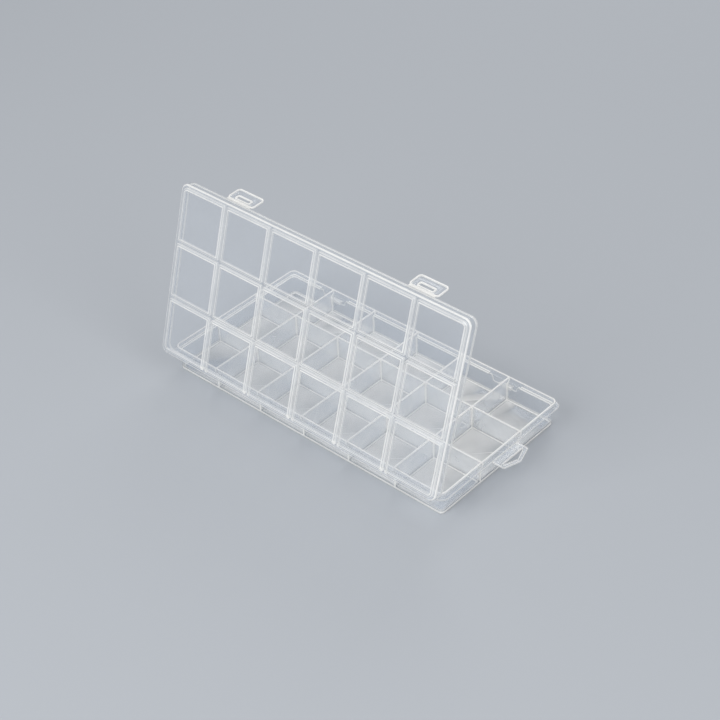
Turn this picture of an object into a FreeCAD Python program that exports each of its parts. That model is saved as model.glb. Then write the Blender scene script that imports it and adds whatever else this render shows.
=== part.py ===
"""Flip-lid compartment box of translucent polypropylene, in millimetres.

The tray stands on the XY plane with its underside centred on the origin: +X runs along the hinge,
+Y from the hinge to the latches and +Z up. Lid and latch tabs are drawn shut and hooked, then swung
about their folds to the angles at which the box stands open.
"""
import FreeCAD, Part
import Sketcher
import math
import os

doc = FreeCAD.newDocument("compartment_box")

# Driving sizes, in millimetres and degrees
SIZES = {
    # Tray: wall, step out to the lip at the rim, flange that the lid sits on
    "tray_length": 230.4,
    "tray_width": 113.2,
    "tray_height": 18.9,
    "tray_corner_radius": 2.4,
    "wall_thickness": 1.2,
    "floor_thickness": 1.2,
    "lip_step": 1.7,
    "lip_thickness": 1.0,
    "lip_height": 3.3,
    "flange_overhang": 3.7,
    "flange_thickness": 1.4,
    # Dividers between the compartments
    "divider_thickness": 1.1,
    "divider_drop": 0.4,
    # Lid: sheet with raised pads and a skirt that comes down to the flange
    "seam_gap": 0.2,
    "sheet_thickness": 1.2,
    "skirt_depth": 5.6,
    "skirt_thickness": 1.2,
    "pad_margin": 2.0,
    "pad_gap": 1.2,
    "pad_bevel": 1.7,
    "pad_rise": 0.8,
    # Fold between tray and lid: a leaf on each and a film along the fold line
    "leaf_reach": 2.4,
    "leaf_thickness": 0.5,
    "leaf_inset": 16.0,
    "film_radius": 0.25,
    "film_clearance": 0.3,
    # Latch tab, its slot and the web that it folds on
    "latch_width": 23.0,
    "latch_length": 12.0,
    "latch_thickness": 1.2,
    "latch_corner_radius": 2.8,
    "slot_length": 10.8,
    "slot_width": 2.6,
    "slot_corner_radius": 0.4,
    "slot_inset": 2.7,
    "web_length": 1.6,
    "web_thickness": 0.4,
    "web_inset": 1.5,
    "latch_shift": 2.2,
    # Catch on the tray wall, in the gap of the flange where the tab passes
    "latch_side_clearance": 1.0,
    "catch_clearance": 0.3,
    "catch_engagement": 0.8,
    "catch_tip_share": 0.6,
    # Hanging tab on the right-hand flange: a plate, and rails to a blunt point round an eye
    "hanger_width": 25.0,
    "hanger_arm": 9.1,
    "hanger_reach": 13.0,
    "eye_start": 6.4,
    "eye_width": 22.0,
    "eye_depth": 4.0,
    # Angles at which the box stands open
    "lid_open_angle": 73.2,
    "latch_open_angle": 19.3,
    # How far cutting shapes run past what they cut
    "overrun": 1.0,
}
COLUMNS = 6
ROWS = 3
LATCH_DIVIDER_LINE = 2

sheet = doc.addObject("Spreadsheet::Sheet", "Sizes")
for row, (name, value) in enumerate(SIZES.items(), start=1):
    sheet.set(f"A{row}", name)
    sheet.set(f"B{row}", str(value))
    sheet.setAlias(f"B{row}", name)
doc.recompute()


def size(name):
    """Return the expression that reads one driving size."""
    return f"Sizes.{name}"


def total(*terms):
    """Return the expression that adds its terms up."""
    return "(" + " + ".join(f"({term})" for term in terms) + ")"


def less(first, *others):
    """Return the expression that takes the other terms from the first."""
    return "(" + " - ".join(f"({term})" for term in (first, *others)) + ")"


def times(factor, term):
    """Return the expression for a multiple of a term."""
    return f"({factor} * ({term}))"


def half(term):
    """Return the expression for half of a term."""
    return f"(({term}) / 2)"


def minus(term):
    """Return the expression for a term with its sign turned."""
    return f"(-({term}))"


# Sizes and places that follow from the driving ones
HALF_LENGTH = half(size("tray_length"))
HALF_WIDTH = half(size("tray_width"))
CORNER_X = less(HALF_LENGTH, size("tray_corner_radius"))
CORNER_Y = less(HALF_WIDTH, size("tray_corner_radius"))
FLANGE_TOP = less(size("tray_height"), size("lip_height"))
FLANGE_BOTTOM = less(FLANGE_TOP, size("flange_thickness"))
FLANGE_X = total(HALF_LENGTH, size("flange_overhang"))
FLANGE_Y = total(HALF_WIDTH, size("flange_overhang"))
LIP_INSIDE = less(size("lip_step"), size("lip_thickness"))
DIVIDER_TOP = less(size("tray_height"), size("divider_drop"))
LID_LENGTH = times(2, FLANGE_X)
LID_WIDTH = times(2, FLANGE_Y)
LID_CORNER = total(size("tray_corner_radius"), size("flange_overhang"))
LID_LOW = total(FLANGE_TOP, size("seam_gap"))
SHEET_LOW = total(LID_LOW, size("skirt_depth"))
SHEET_TOP = total(SHEET_LOW, size("sheet_thickness"))
FOLD_Y = minus(total(FLANGE_Y, size("leaf_reach")))
FOLD_Z = total(FLANGE_TOP, half(size("seam_gap")))
FOLD_ROOM = total(size("film_radius"), size("film_clearance"))
LEAF_END_Y = total(FOLD_Y, FOLD_ROOM)
HALF_LEAF = less(FLANGE_X, size("leaf_inset"))


def inner_span(outer):
    """Return the span between lip faces, plus one divider, for an outer wall size."""
    return total(outer, times(2, LIP_INSIDE), size("divider_thickness"))


COLUMN_PITCH = f"({inner_span(size('tray_length'))} / {COLUMNS})"
ROW_PITCH = f"({inner_span(size('tray_width'))} / {ROWS})"
PAD_PITCH_X = f"({less(total(LID_LENGTH, size('pad_gap')), times(2, size('pad_margin')))} / {COLUMNS})"
PAD_PITCH_Y = f"({less(total(LID_WIDTH, size('pad_gap')), times(2, size('pad_margin')))} / {ROWS})"
LATCH_X = less(times(LATCH_DIVIDER_LINE, COLUMN_PITCH), size("latch_shift"))
HALF_LAND = total(half(size("latch_width")), size("latch_side_clearance"))
HALF_WEB = less(half(size("latch_width")), size("web_inset"))
LATCH_FOLD_Y = less(FLANGE_Y, half(size("web_thickness")))
LATCH_FOLD_Z = less(LID_LOW, half(size("web_length")))
TAB_START = half(size("web_length"))

parts = []


def number(expression):
    """Return the value of an expression over the sheet."""
    return float(sheet.evalExpression(expression))


def keep(thing, label):
    """Name a finished sub-part and put it among those that are written out."""
    thing.Label = label
    parts.append(thing)
    return thing


def block(name, low, high):
    """Make a box between two corners that are given as expressions."""
    box = doc.addObject("Part::Box", name)
    for side, axis, start, end in zip(("Length", "Width", "Height"), "xyz", low, high):
        box.setExpression(side, less(end, start))
        box.setExpression(f"Placement.Base.{axis}", start)
    return box


def boolean(kind, name, base, tool):
    """Make a Cut, Fuse or Common of two objects."""
    result = doc.addObject(f"Part::{kind}", name)
    result.Base = base
    result.Tool = tool
    return result


def bead(name, start, length, y, z):
    """Make the round bead of a film, along a fold line at y and z."""
    cylinder = doc.addObject("Part::Cylinder", name)
    cylinder.Placement.Rotation = FreeCAD.Rotation(FreeCAD.Vector(0, 0, 1), FreeCAD.Vector(1, 0, 0))
    cylinder.setExpression("Radius", size("film_radius"))
    cylinder.setExpression("Height", length)
    for axis, place in zip("xyz", (start, y, z)):
        cylinder.setExpression(f"Placement.Base.{axis}", place)
    return cylinder


def sketch_on_base(body, name, height):
    """Start a sketch parallel to a body's own XY plane, at a height."""
    sketch = body.newObject("Sketcher::SketchObject", name)
    plane = next(item for item in body.Origin.OriginFeatures if item.Role == "XY_Plane")
    sketch.AttachmentSupport = [(plane, "")]
    sketch.MapMode = "FlatFace"
    sketch.setExpression("AttachmentOffset.Base.z", height)
    return sketch


def tie(sketch, constraint, label, expression):
    """Add a dimension to a sketch and bind it to an expression."""
    index = sketch.addConstraint(constraint)
    sketch.renameConstraint(index, label)
    sketch.setExpression(f"Constraints.{label}", expression)


def rounded_sketch(body, name, length, width, radius, height, centre_y="0"):
    """Draw a rectangle with round corners, centred on the Y axis at centre_y."""
    sketch = sketch_on_base(body, name, height)
    sketch.setExpression("AttachmentOffset.Base.y", centre_y)
    x = number(length) / 2
    y = number(width) / 2
    r = number(radius)
    corners = ((x - r, r - y, 270), (x - r, y - r, 0), (r - x, y - r, 90), (r - x, r - y, 180))
    arcs = []
    for corner_x, corner_y, start in corners:
        circle = Part.Circle(FreeCAD.Vector(corner_x, corner_y), FreeCAD.Vector(0, 0, 1), r)
        arc = Part.ArcOfCircle(circle, math.radians(start), math.radians(start + 90))
        arcs.append(sketch.addGeometry(arc))
    sides = []
    for first, second in zip(arcs, arcs[1:] + arcs[:1]):
        start_point = sketch.getPoint(first, 2)
        end_point = sketch.getPoint(second, 1)
        sides.append(sketch.addGeometry(Part.LineSegment(start_point, end_point)))
    for index, side in enumerate(sides):
        following = arcs[(index + 1) % len(arcs)]
        sketch.addConstraint(Sketcher.Constraint("Tangent", arcs[index], 2, side, 1))
        sketch.addConstraint(Sketcher.Constraint("Tangent", side, 2, following, 1))
        sketch.addConstraint(Sketcher.Constraint("Horizontal" if index % 2 else "Vertical", side))
    for arc in arcs[1:]:
        sketch.addConstraint(Sketcher.Constraint("Equal", arcs[0], arc))
    sketch.addConstraint(Sketcher.Constraint("Symmetric", arcs[1], 3, arcs[3], 3, -1, 1))
    tie(sketch, Sketcher.Constraint("Radius", arcs[0], r), "corner", radius)
    tie(sketch, Sketcher.Constraint("DistanceX", sides[2], 1, sides[0], 1, 2 * x), "length", length)
    tie(sketch, Sketcher.Constraint("DistanceY", sides[3], 1, sides[1], 1, 2 * y), "width", width)
    return sketch


def outline_sketch(body, name, height, points):
    """Draw a closed outline of straight edges through points given as expressions."""
    sketch = sketch_on_base(body, name, height)
    places = [FreeCAD.Vector(number(x), number(y)) for x, y in points]
    edges = []
    for start, end in zip(places, places[1:] + places[:1]):
        edges.append(sketch.addGeometry(Part.LineSegment(start, end)))
    for index, edge in enumerate(edges):
        following = edges[(index + 1) % len(edges)]
        sketch.addConstraint(Sketcher.Constraint("Coincident", edge, 2, following, 1))
    for index, (edge, (x, y)) in enumerate(zip(edges, points)):
        place = places[index]
        tie(sketch, Sketcher.Constraint("DistanceX", -1, 1, edge, 1, place.x), f"across_{index}", x)
        tie(sketch, Sketcher.Constraint("DistanceY", -1, 1, edge, 1, place.y), f"along_{index}", y)
    return sketch


def pad(body, name, sketch, height):
    """Raise a sketch into solid material."""
    feature = body.newObject("PartDesign::Pad", name)
    feature.Profile = sketch
    feature.setExpression("Length", height)
    return feature


def rounded_pad(body, name, outset, low, high):
    """Raise the tray's rounded footprint, set out by an offset, between two heights."""
    length = total(size("tray_length"), times(2, outset))
    width = total(size("tray_width"), times(2, outset))
    radius = total(size("tray_corner_radius"), outset)
    sketch = rounded_sketch(body, f"{name}_outline", length, width, radius, low)
    return pad(body, name, sketch, less(high, low))


def rounded_solid(name, layers):
    """Make a body of rounded layers, each given as name, offset, lower and upper height."""
    body = doc.addObject("PartDesign::Body", name)
    for layer, outset, low, high in layers:
        rounded_pad(body, f"{name}_{layer}", outset, low, high)
    return body


def swing_lid(part, place_y="0", place_z="0", turn=size("lid_open_angle")):
    """Swing a part about the tray's fold line with the lid, from its place when shut.

    The turn is the part's own angle about the X axis once the lid stands open.
    """
    lid_turn = size("lid_open_angle")
    arm_y = less(place_y, FOLD_Y)
    arm_z = less(place_z, FOLD_Z)
    part.Placement = FreeCAD.Placement(
        FreeCAD.Vector(), FreeCAD.Rotation(FreeCAD.Vector(1, 0, 0), number(turn))
    )
    part.setExpression("Placement.Rotation.Angle", turn)
    place_open_y = f"{arm_y} * cos({lid_turn}) - {arm_z} * sin({lid_turn})"
    place_open_z = f"{arm_y} * sin({lid_turn}) + {arm_z} * cos({lid_turn})"
    part.setExpression("Placement.Base.y", total(FOLD_Y, place_open_y))
    part.setExpression("Placement.Base.z", total(FOLD_Z, place_open_z))
    return part


def ring_sectors(prefix, reach_x, reach_y, low, high):
    """Make the eight boxes that part a rounded ring into straight sides and corners."""
    spans_x = {"left": (minus(reach_x), minus(CORNER_X)), "right": (CORNER_X, reach_x)}
    spans_y = {"front": (minus(reach_y), minus(CORNER_Y)), "back": (CORNER_Y, reach_y)}
    middle_x = (minus(CORNER_X), CORNER_X)
    middle_y = (minus(CORNER_Y), CORNER_Y)
    places = {side: (span, middle_y) for side, span in spans_x.items()}
    places.update({side: (middle_x, span) for side, span in spans_y.items()})
    for side_y, span_y in spans_y.items():
        for side_x, span_x in spans_x.items():
            places[f"{side_y}_{side_x}_corner"] = (span_x, span_y)
    boxes = {}
    for side, (across, along) in places.items():
        corner_low = (across[0], along[0], low)
        corner_high = (across[1], along[1], high)
        boxes[side] = block(f"{prefix}_{side}_sector", corner_low, corner_high)
    return boxes


# Tray: outside and inside shapes, then the ring of walls between them
wall_layers = [
    ("wall", "0", size("floor_thickness"), FLANGE_TOP),
    ("flange", size("flange_overhang"), FLANGE_BOTTOM, FLANGE_TOP),
    ("lip", size("lip_step"), FLANGE_TOP, size("tray_height")),
]
cavity_layers = [
    ("lower", minus(size("wall_thickness")), "0", FLANGE_TOP),
    ("upper", LIP_INSIDE, FLANGE_TOP, total(size("tray_height"), size("overrun"))),
]
tray_outside = rounded_solid("tray_outside", wall_layers)
tray_cavity = rounded_solid("tray_cavity", cavity_layers)
tray_ring = boolean("Cut", "tray_ring", tray_outside, tray_cavity)

tray_floor = rounded_solid("tray_floor_plate", [("plate", "0", "0", size("floor_thickness"))])
keep(tray_floor, "tray_floor")

RING_X = total(FLANGE_X, size("overrun"))
RING_Y = total(FLANGE_Y, size("overrun"))
RING_TOP = total(size("tray_height"), size("overrun"))
tray_sectors = ring_sectors("tray", RING_X, RING_Y, "0", RING_TOP)
for side, sector in tray_sectors.items():
    if side != "back":
        wall = boolean("Common", f"tray_{side}_member", tray_ring, sector)
        keep(wall, f"tray_wall_{side}")

# Back wall: three flanged stretches and the two lands between them, where the flange is cut away
LAND_NEAR = less(LATCH_X, HALF_LAND)
LAND_FAR = total(LATCH_X, HALF_LAND)
back_spans = {
    "tray_wall_back_left": (minus(CORNER_X), minus(LAND_FAR)),
    "tray_wall_back_middle": (minus(LAND_NEAR), LAND_NEAR),
    "tray_wall_back_right": (LAND_FAR, CORNER_X),
    "latch_land_left": (minus(LAND_FAR), minus(LAND_NEAR)),
    "latch_land_right": (LAND_NEAR, LAND_FAR),
}
LIP_FACE_Y = total(HALF_WIDTH, size("lip_step"))
for label, (start, end) in back_spans.items():
    reach = LIP_FACE_Y if label.startswith("latch_land") else RING_Y
    sector = block(f"{label}_sector", (start, CORNER_Y, "0"), (end, reach, RING_TOP))
    keep(boolean("Common", f"{label}_member", tray_ring, sector), label)

# Dividers: two rows along the tray, and columns between them that stop at their faces
HALF_DIVIDER = half(size("divider_thickness"))
row_lines = [times(index - ROWS / 2, ROW_PITCH) for index in range(1, ROWS)]
column_lines = [times(index - COLUMNS / 2, COLUMN_PITCH) for index in range(1, COLUMNS)]
for label, line in zip(("row_divider_front", "row_divider_back"), row_lines):
    low = (minus(RING_X), less(line, HALF_DIVIDER), size("floor_thickness"))
    high = (RING_X, total(line, HALF_DIVIDER), DIVIDER_TOP)
    keep(boolean("Common", f"{label}_member", block(f"{label}_plate", low, high), tray_cavity), label)

row_starts = [minus(RING_Y)] + [total(line, HALF_DIVIDER) for line in row_lines]
row_ends = [less(line, HALF_DIVIDER) for line in row_lines] + [RING_Y]
for row_name, start, end in zip(("front", "middle", "back"), row_starts, row_ends):
    for index, line in enumerate(column_lines, start=1):
        label = f"column_divider_{row_name}_{index}"
        low = (less(line, HALF_DIVIDER), start, size("floor_thickness"))
        high = (total(line, HALF_DIVIDER), end, DIVIDER_TOP)
        plate = block(f"{label}_plate", low, high)
        keep(boolean("Common", f"{label}_member", plate, tray_cavity), label)

# Catches: tapered beads on the lands, as wide and high as the tab's slot leaves room for
CATCH_REACH = total(less(size("flange_overhang"), size("latch_thickness")), size("catch_engagement"))
CATCH_HALF_WIDTH = less(half(size("slot_length")), size("catch_clearance"))
CATCH_HALF_HEIGHT = less(half(size("slot_width")), size("catch_clearance"))
CATCH_TIP = f"({CATCH_HALF_HEIGHT} * {size('catch_tip_share')})"
SLOT_FROM_FOLD = total(TAB_START, size("slot_inset"), half(size("slot_width")))
for side, place in (("left", minus(LATCH_X)), ("right", LATCH_X)):
    catch = doc.addObject("Part::Wedge", f"catch_{side}_bead")
    for end, height in (("", CATCH_HALF_HEIGHT), ("2", CATCH_TIP)):
        catch.setExpression(f"X{end}min", minus(CATCH_HALF_WIDTH))
        catch.setExpression(f"X{end}max", CATCH_HALF_WIDTH)
        catch.setExpression(f"Z{end}min", minus(height))
        catch.setExpression(f"Z{end}max", height)
    catch.setExpression("Ymin", "0")
    catch.setExpression("Ymax", CATCH_REACH)
    catch.setExpression("Placement.Base.x", place)
    catch.setExpression("Placement.Base.y", HALF_WIDTH)
    catch.setExpression("Placement.Base.z", less(LATCH_FOLD_Z, SLOT_FROM_FOLD))
    keep(catch, f"latch_catch_{side}")

# Hanging tab: a plate in line with the flange, and two rails that close a three-cornered eye
HANGER_HALF = half(size("hanger_width"))
EYE_X = total(FLANGE_X, size("eye_start"))
hanger_low = (FLANGE_X, minus(HANGER_HALF), FLANGE_BOTTOM)
hanger_high = (EYE_X, HANGER_HALF, FLANGE_TOP)
keep(block("hanger_block", hanger_low, hanger_high), "hanger_plate")
front_rail = [
    (EYE_X, minus(HANGER_HALF)),
    (total(FLANGE_X, size("hanger_arm")), minus(HANGER_HALF)),
    (total(FLANGE_X, size("hanger_reach")), "0"),
    (total(EYE_X, size("eye_depth")), "0"),
    (EYE_X, minus(half(size("eye_width")))),
]
back_rail = [(x, minus(y)) for x, y in front_rail]
for side, points in (("front", front_rail), ("back", back_rail)):
    rail = doc.addObject("PartDesign::Body", f"hanger_{side}_body")
    rail_outline = outline_sketch(rail, f"hanger_{side}_outline", FLANGE_BOTTOM, points)
    pad(rail, f"hanger_{side}_solid", rail_outline, size("flange_thickness"))
    keep(rail, f"hanger_rail_{side}")

# Fold between tray and lid: the film's bead, the tray's leaf up to it and the lid's leaf clear of it
film = bead("film", minus(HALF_LEAF), times(2, HALF_LEAF), FOLD_Y, FOLD_Z)
keep(film, "hinge_film")
tray_leaf_low = (minus(HALF_LEAF), FOLD_Y, less(FLANGE_TOP, size("leaf_thickness")))
tray_leaf_high = (HALF_LEAF, minus(FLANGE_Y), FLANGE_TOP)
tray_leaf = block("tray_leaf", tray_leaf_low, tray_leaf_high)
keep(boolean("Cut", "tray_leaf_trimmed", tray_leaf, film), "hinge_leaf_tray")
lid_leaf_low = (minus(HALF_LEAF), LEAF_END_Y, LID_LOW)
lid_leaf_high = (HALF_LEAF, minus(FLANGE_Y), total(LID_LOW, size("leaf_thickness")))
lid_leaf = block("lid_leaf", lid_leaf_low, lid_leaf_high)
keep(swing_lid(lid_leaf, LEAF_END_Y, LID_LOW), "hinge_leaf_lid")

# Lid skirt: a rounded ring in four straight sides and four corners
skirt_top = total(SHEET_LOW, size("overrun"))
skirt_bottom = less(LID_LOW, size("overrun"))
lid_outside = rounded_solid("lid_outside", [("skirt", size("flange_overhang"), LID_LOW, SHEET_LOW)])
lid_hollow_set = less(size("flange_overhang"), size("skirt_thickness"))
lid_inside = rounded_solid("lid_inside", [("hollow", lid_hollow_set, skirt_bottom, skirt_top)])
lid_ring = boolean("Cut", "lid_ring", lid_outside, lid_inside)
for side, sector in ring_sectors("lid", RING_X, RING_Y, skirt_bottom, skirt_top).items():
    keep(swing_lid(boolean("Common", f"lid_{side}_member", lid_ring, sector)), f"lid_skirt_{side}")


def pad_blocks(name, base_height):
    """Make the grid of bevelled blocks that shape the pads, trimmed to the lid's round corners."""
    blocks = []
    for row in range(ROWS):
        for column in range(COLUMNS):
            wedge = doc.addObject("Part::Wedge", f"{name}_{row + 1}_{column + 1}")
            upright = FreeCAD.Rotation(FreeCAD.Vector(0, 1, 0), FreeCAD.Vector(0, 0, 1))
            wedge.Placement.Rotation = upright
            for axis, pitch in (("X", PAD_PITCH_X), ("Z", PAD_PITCH_Y)):
                reach = half(less(pitch, size("pad_gap")))
                top_reach = less(reach, size("pad_bevel"))
                wedge.setExpression(f"{axis}min", minus(reach))
                wedge.setExpression(f"{axis}max", reach)
                wedge.setExpression(f"{axis}2min", minus(top_reach))
                wedge.setExpression(f"{axis}2max", top_reach)
            wedge.setExpression("Ymin", "0")
            wedge.setExpression("Ymax", size("pad_rise"))
            wedge.setExpression("Placement.Base.x", times(column - (COLUMNS - 1) / 2, PAD_PITCH_X))
            wedge.setExpression("Placement.Base.y", times(row - (ROWS - 1) / 2, PAD_PITCH_Y))
            wedge.setExpression("Placement.Base.z", base_height)
            blocks.append(wedge)
    grid = doc.addObject("Part::Compound", f"{name}_grid")
    grid.Links = blocks
    field_set = less(size("flange_overhang"), size("pad_margin"))
    field_top = total(base_height, size("pad_rise"), size("overrun"))
    field = rounded_solid(f"{name}_field", [("area", field_set, base_height, field_top)])
    return boolean("Common", f"{name}_trimmed", grid, field)


# Lid panel: an even sheet that rises into a pad over each compartment
sheet_plate = rounded_solid("sheet_plate", [("plate", size("flange_overhang"), SHEET_LOW, SHEET_TOP)])
raised_sheet = boolean("Fuse", "raised_sheet", sheet_plate, pad_blocks("pad", SHEET_TOP))
lid_panel = boolean("Cut", "lid_panel_sheet", raised_sheet, pad_blocks("recess", SHEET_LOW))
keep(swing_lid(lid_panel), "lid_panel")

# Latches: a web on the lid's back skirt, and a slotted tab that folds on it
for side, place in (("left", minus(LATCH_X)), ("right", LATCH_X)):
    web_start = less(place, HALF_WEB)
    web_low = (web_start, less(FLANGE_Y, size("web_thickness")), LATCH_FOLD_Z)
    web_high = (total(place, HALF_WEB), FLANGE_Y, LID_LOW)
    web_strip = block(f"web_{side}_strip", web_low, web_high)
    web_bead = bead(f"web_{side}_bead", web_start, times(2, HALF_WEB), LATCH_FOLD_Y, LATCH_FOLD_Z)
    keep(swing_lid(boolean("Fuse", f"web_{side}_whole", web_strip, web_bead)), f"latch_web_{side}")

    # The tab lies flat here: +Y away from the fold, +Z on the side that faces out when hooked
    tab_body = doc.addObject("PartDesign::Body", f"tab_{side}_body")
    tab_low = less(half(size("web_thickness")), size("latch_thickness"))
    tab_middle = total(TAB_START, half(size("latch_length")))
    tab_outline = rounded_sketch(
        tab_body, f"tab_{side}_outline", size("latch_width"), size("latch_length"),
        size("latch_corner_radius"), tab_low, tab_middle
    )
    pad(tab_body, f"tab_{side}_plate", tab_outline, size("latch_thickness"))
    slot_body = doc.addObject("PartDesign::Body", f"slot_{side}_body")
    slot_outline = rounded_sketch(
        slot_body, f"slot_{side}_outline", size("slot_length"), size("slot_width"),
        size("slot_corner_radius"), less(tab_low, size("overrun")), SLOT_FROM_FOLD
    )
    slot_depth = total(size("latch_thickness"), times(2, size("overrun")))
    pad(slot_body, f"slot_{side}_space", slot_outline, slot_depth)
    slotted_tab = boolean("Cut", f"slotted_tab_{side}", tab_body, slot_body)
    tongue_low = (minus(HALF_WEB), FOLD_ROOM, minus(half(size("web_thickness"))))
    tongue_high = (HALF_WEB, total(TAB_START, size("web_inset")), half(size("web_thickness")))
    tongue = block(f"tab_{side}_tongue", tongue_low, tongue_high)
    tab = boolean("Fuse", f"tab_{side}_whole", slotted_tab, tongue)

    # From flat to hooked is a quarter turn back, then the two open angles swing it out and up
    turn = f"({size('lid_open_angle')} + {size('latch_open_angle')} - 90)"
    swing_lid(tab, LATCH_FOLD_Y, LATCH_FOLD_Z, turn)
    tab.setExpression("Placement.Base.x", place)
    keep(tab, f"latch_tab_{side}")

doc.recompute()
for thing in doc.Objects:
    if "Invalid" in thing.State or "Error" in thing.State:
        raise RuntimeError(f"{thing.Label} did not recompute: {thing.State}")
for part in parts:
    if part.Shape.isNull() or not part.Shape.isValid() or len(part.Shape.Solids) != 1:
        raise RuntimeError(f"{part.Label} is not one valid solid")

os.makedirs("parts", exist_ok=True)
for part in parts:
    part.Shape.exportStep(f"parts/{part.Label}.step")
print(f"{len(parts)} parts written")
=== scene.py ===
"""Looks of a flip-lid compartment box of natural polypropylene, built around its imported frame.

Sizes are in millimetres in the frame's own axes: +X along the hinge, +Y from the hinge to the
latches and +Z up, with the origin under the middle of the tray. Lid pieces are drawn shut and
swung open about the fold, latch tabs are drawn flat and set at the lid's free edge.
"""

import logging
import math
from dataclasses import dataclass, field
from enum import Enum
from typing import Iterable, NamedTuple, Sequence

import bmesh
import bpy
from mathutils import Matrix, Vector
from mathutils.geometry import delaunay_2d_cdt


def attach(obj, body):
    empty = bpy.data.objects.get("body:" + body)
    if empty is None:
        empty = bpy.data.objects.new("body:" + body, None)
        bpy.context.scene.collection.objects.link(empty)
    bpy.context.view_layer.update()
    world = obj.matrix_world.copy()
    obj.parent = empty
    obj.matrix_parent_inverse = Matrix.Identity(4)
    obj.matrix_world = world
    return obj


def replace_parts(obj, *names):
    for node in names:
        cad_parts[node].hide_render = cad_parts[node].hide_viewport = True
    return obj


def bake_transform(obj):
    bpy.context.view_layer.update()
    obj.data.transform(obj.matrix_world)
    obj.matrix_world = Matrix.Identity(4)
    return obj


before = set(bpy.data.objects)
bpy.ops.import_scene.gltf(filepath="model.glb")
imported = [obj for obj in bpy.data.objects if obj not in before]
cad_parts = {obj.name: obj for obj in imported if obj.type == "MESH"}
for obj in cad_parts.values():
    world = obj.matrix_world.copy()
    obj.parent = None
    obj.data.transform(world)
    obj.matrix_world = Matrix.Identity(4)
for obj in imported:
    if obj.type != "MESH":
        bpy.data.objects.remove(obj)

MM = 0.001
DEPTH_NAME = "plastic_depth"
# Faces that meet at a larger angle, in degrees, keep a sharp edge
SHARP_ANGLE = 50
# Points of a filled area that are closer, in millimetres, count as one
MERGE_REACH = 1e-7
# Sides of X and Y that a rectangle's corners are on, anticlockwise from the front left
CORNER_SIGNS = ((-1, -1), (1, -1), (1, 1), (-1, 1))
LOG = logging.getLogger("compartment_box")


class Latch(Enum):
    """The two latches, by the side of the box that they are on."""

    LEFT = -1
    RIGHT = 1

    @property
    def side(self) -> str:
        """The side's word in the names of nodes, bodies and pieces."""
        return self.name.lower()


class Run(Enum):
    """Ways that a section can run, as steps outwards and upwards."""

    OUT = (1, 0)
    IN = (-1, 0)
    UP = (0, 1)
    DOWN = (0, -1)


class PlanPoint(NamedTuple):
    """A point of an outline in plan, and what lies there."""

    x: float
    y: float
    border: float = 0.0
    corner: float = 0.0


class Level(NamedTuple):
    """One ring round a moulding: how far it is set out, its height and the plastic behind it."""

    offset: float
    height: float
    depth: float


class PocketLevel(NamedTuple):
    """One ring inside a compartment, at its border walls and at its dividers."""

    border: Level
    inner: Level
    on_ledge: bool = False


class Round(NamedTuple):
    """How a section's corner is rounded: how far the round and its middle lie from the sharp corner."""

    across: float
    down: float
    middle_across: float
    middle_down: float


class Lamp(NamedTuple):
    """A square soft lamp: its place and the length of its sides in metres, and its power in watts."""

    name: str
    place: tuple[float, float, float]
    size: float
    power: float


def linear(colour: str) -> tuple[float, float, float, float]:
    """Turn an sRGB hex colour into linear values.

    Args:
        colour: The colour as "#RRGGBB".

    Returns:
        Red, green, blue and an alpha of 1.
    """
    channels = []
    for start in (1, 3, 5):
        value = int(colour[start : start + 2], 16) / 255
        channels.append(value / 12.92 if value <= 0.04045 else ((value + 0.055) / 1.055) ** 2.4)
    return (*channels, 1.0)


def add_node(
    tree: bpy.types.NodeTree,
    kind: str,
    settings: dict[str | int, object] | None = None,
    links: dict[str | int, bpy.types.NodeSocket] | None = None,
) -> bpy.types.Node:
    """Add a node with its settings and links.

    Args:
        tree: The node tree that gets the node.
        kind: Blender's type name of the node.
        settings: Values for inputs, by name or index, and for the node's own properties.
        links: Output sockets to link from, by the name or index of the input.

    Returns:
        The new node.
    """
    node = tree.nodes.new(kind)
    values = settings or {}
    properties = [key for key in values if isinstance(key, str) and key not in node.inputs.keys()]
    # Properties come first, because some of them change which inputs there are
    for key in properties:
        setattr(node, key, values[key])
    for key, value in values.items():
        if key not in properties:
            node.inputs[key].default_value = value
    for key, source in (links or {}).items():
        tree.links.new(source, node.inputs[key])
    return node


def new_material(name: str) -> tuple[bpy.types.Material, bpy.types.NodeTree]:
    """Start a node material with an empty tree.

    Args:
        name: The material's name.

    Returns:
        The material and its node tree.
    """
    material = bpy.data.materials.new(name)
    material.use_nodes = True
    material.node_tree.nodes.clear()
    return material, material.node_tree


def math_node(
    tree: bpy.types.NodeTree, operation: str, *terms: float | bpy.types.NodeSocket
) -> bpy.types.NodeSocket:
    """Add a node that works a number out.

    Args:
        tree: The node tree that gets the node.
        operation: Blender's name of the operation.
        terms: Numbers and output sockets, in the order of the node's inputs.

    Returns:
        The result's socket.
    """
    numbers = {index: term for index, term in enumerate(terms) if isinstance(term, float)}
    sockets = {index: term for index, term in enumerate(terms) if index not in numbers}
    return add_node(tree, "ShaderNodeMath", {"operation": operation, **numbers}, sockets).outputs[0]


def mix_shaders(
    tree: bpy.types.NodeTree,
    share: bpy.types.NodeSocket,
    first: bpy.types.NodeSocket,
    second: bpy.types.NodeSocket,
) -> bpy.types.NodeSocket:
    """Mix two shaders: the first where the share is 0, the second where it is 1."""
    return add_node(tree, "ShaderNodeMixShader", {}, {0: share, 1: first, 2: second}).outputs[0]


def seen_share(tree: bpy.types.NodeTree) -> bpy.types.NodeSocket:
    """Tell rays that show a thing, straight, in gloss or through glass, from those that light it.

    Args:
        tree: The node tree that gets the nodes.

    Returns:
        A socket that is 1 for rays that show the thing.
    """
    path = add_node(tree, "ShaderNodeLightPath").outputs
    mirrored = math_node(tree, "MAXIMUM", path["Is Glossy Ray"], path["Is Transmission Ray"])
    return math_node(tree, "MAXIMUM", path["Is Camera Ray"], mirrored)


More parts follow.
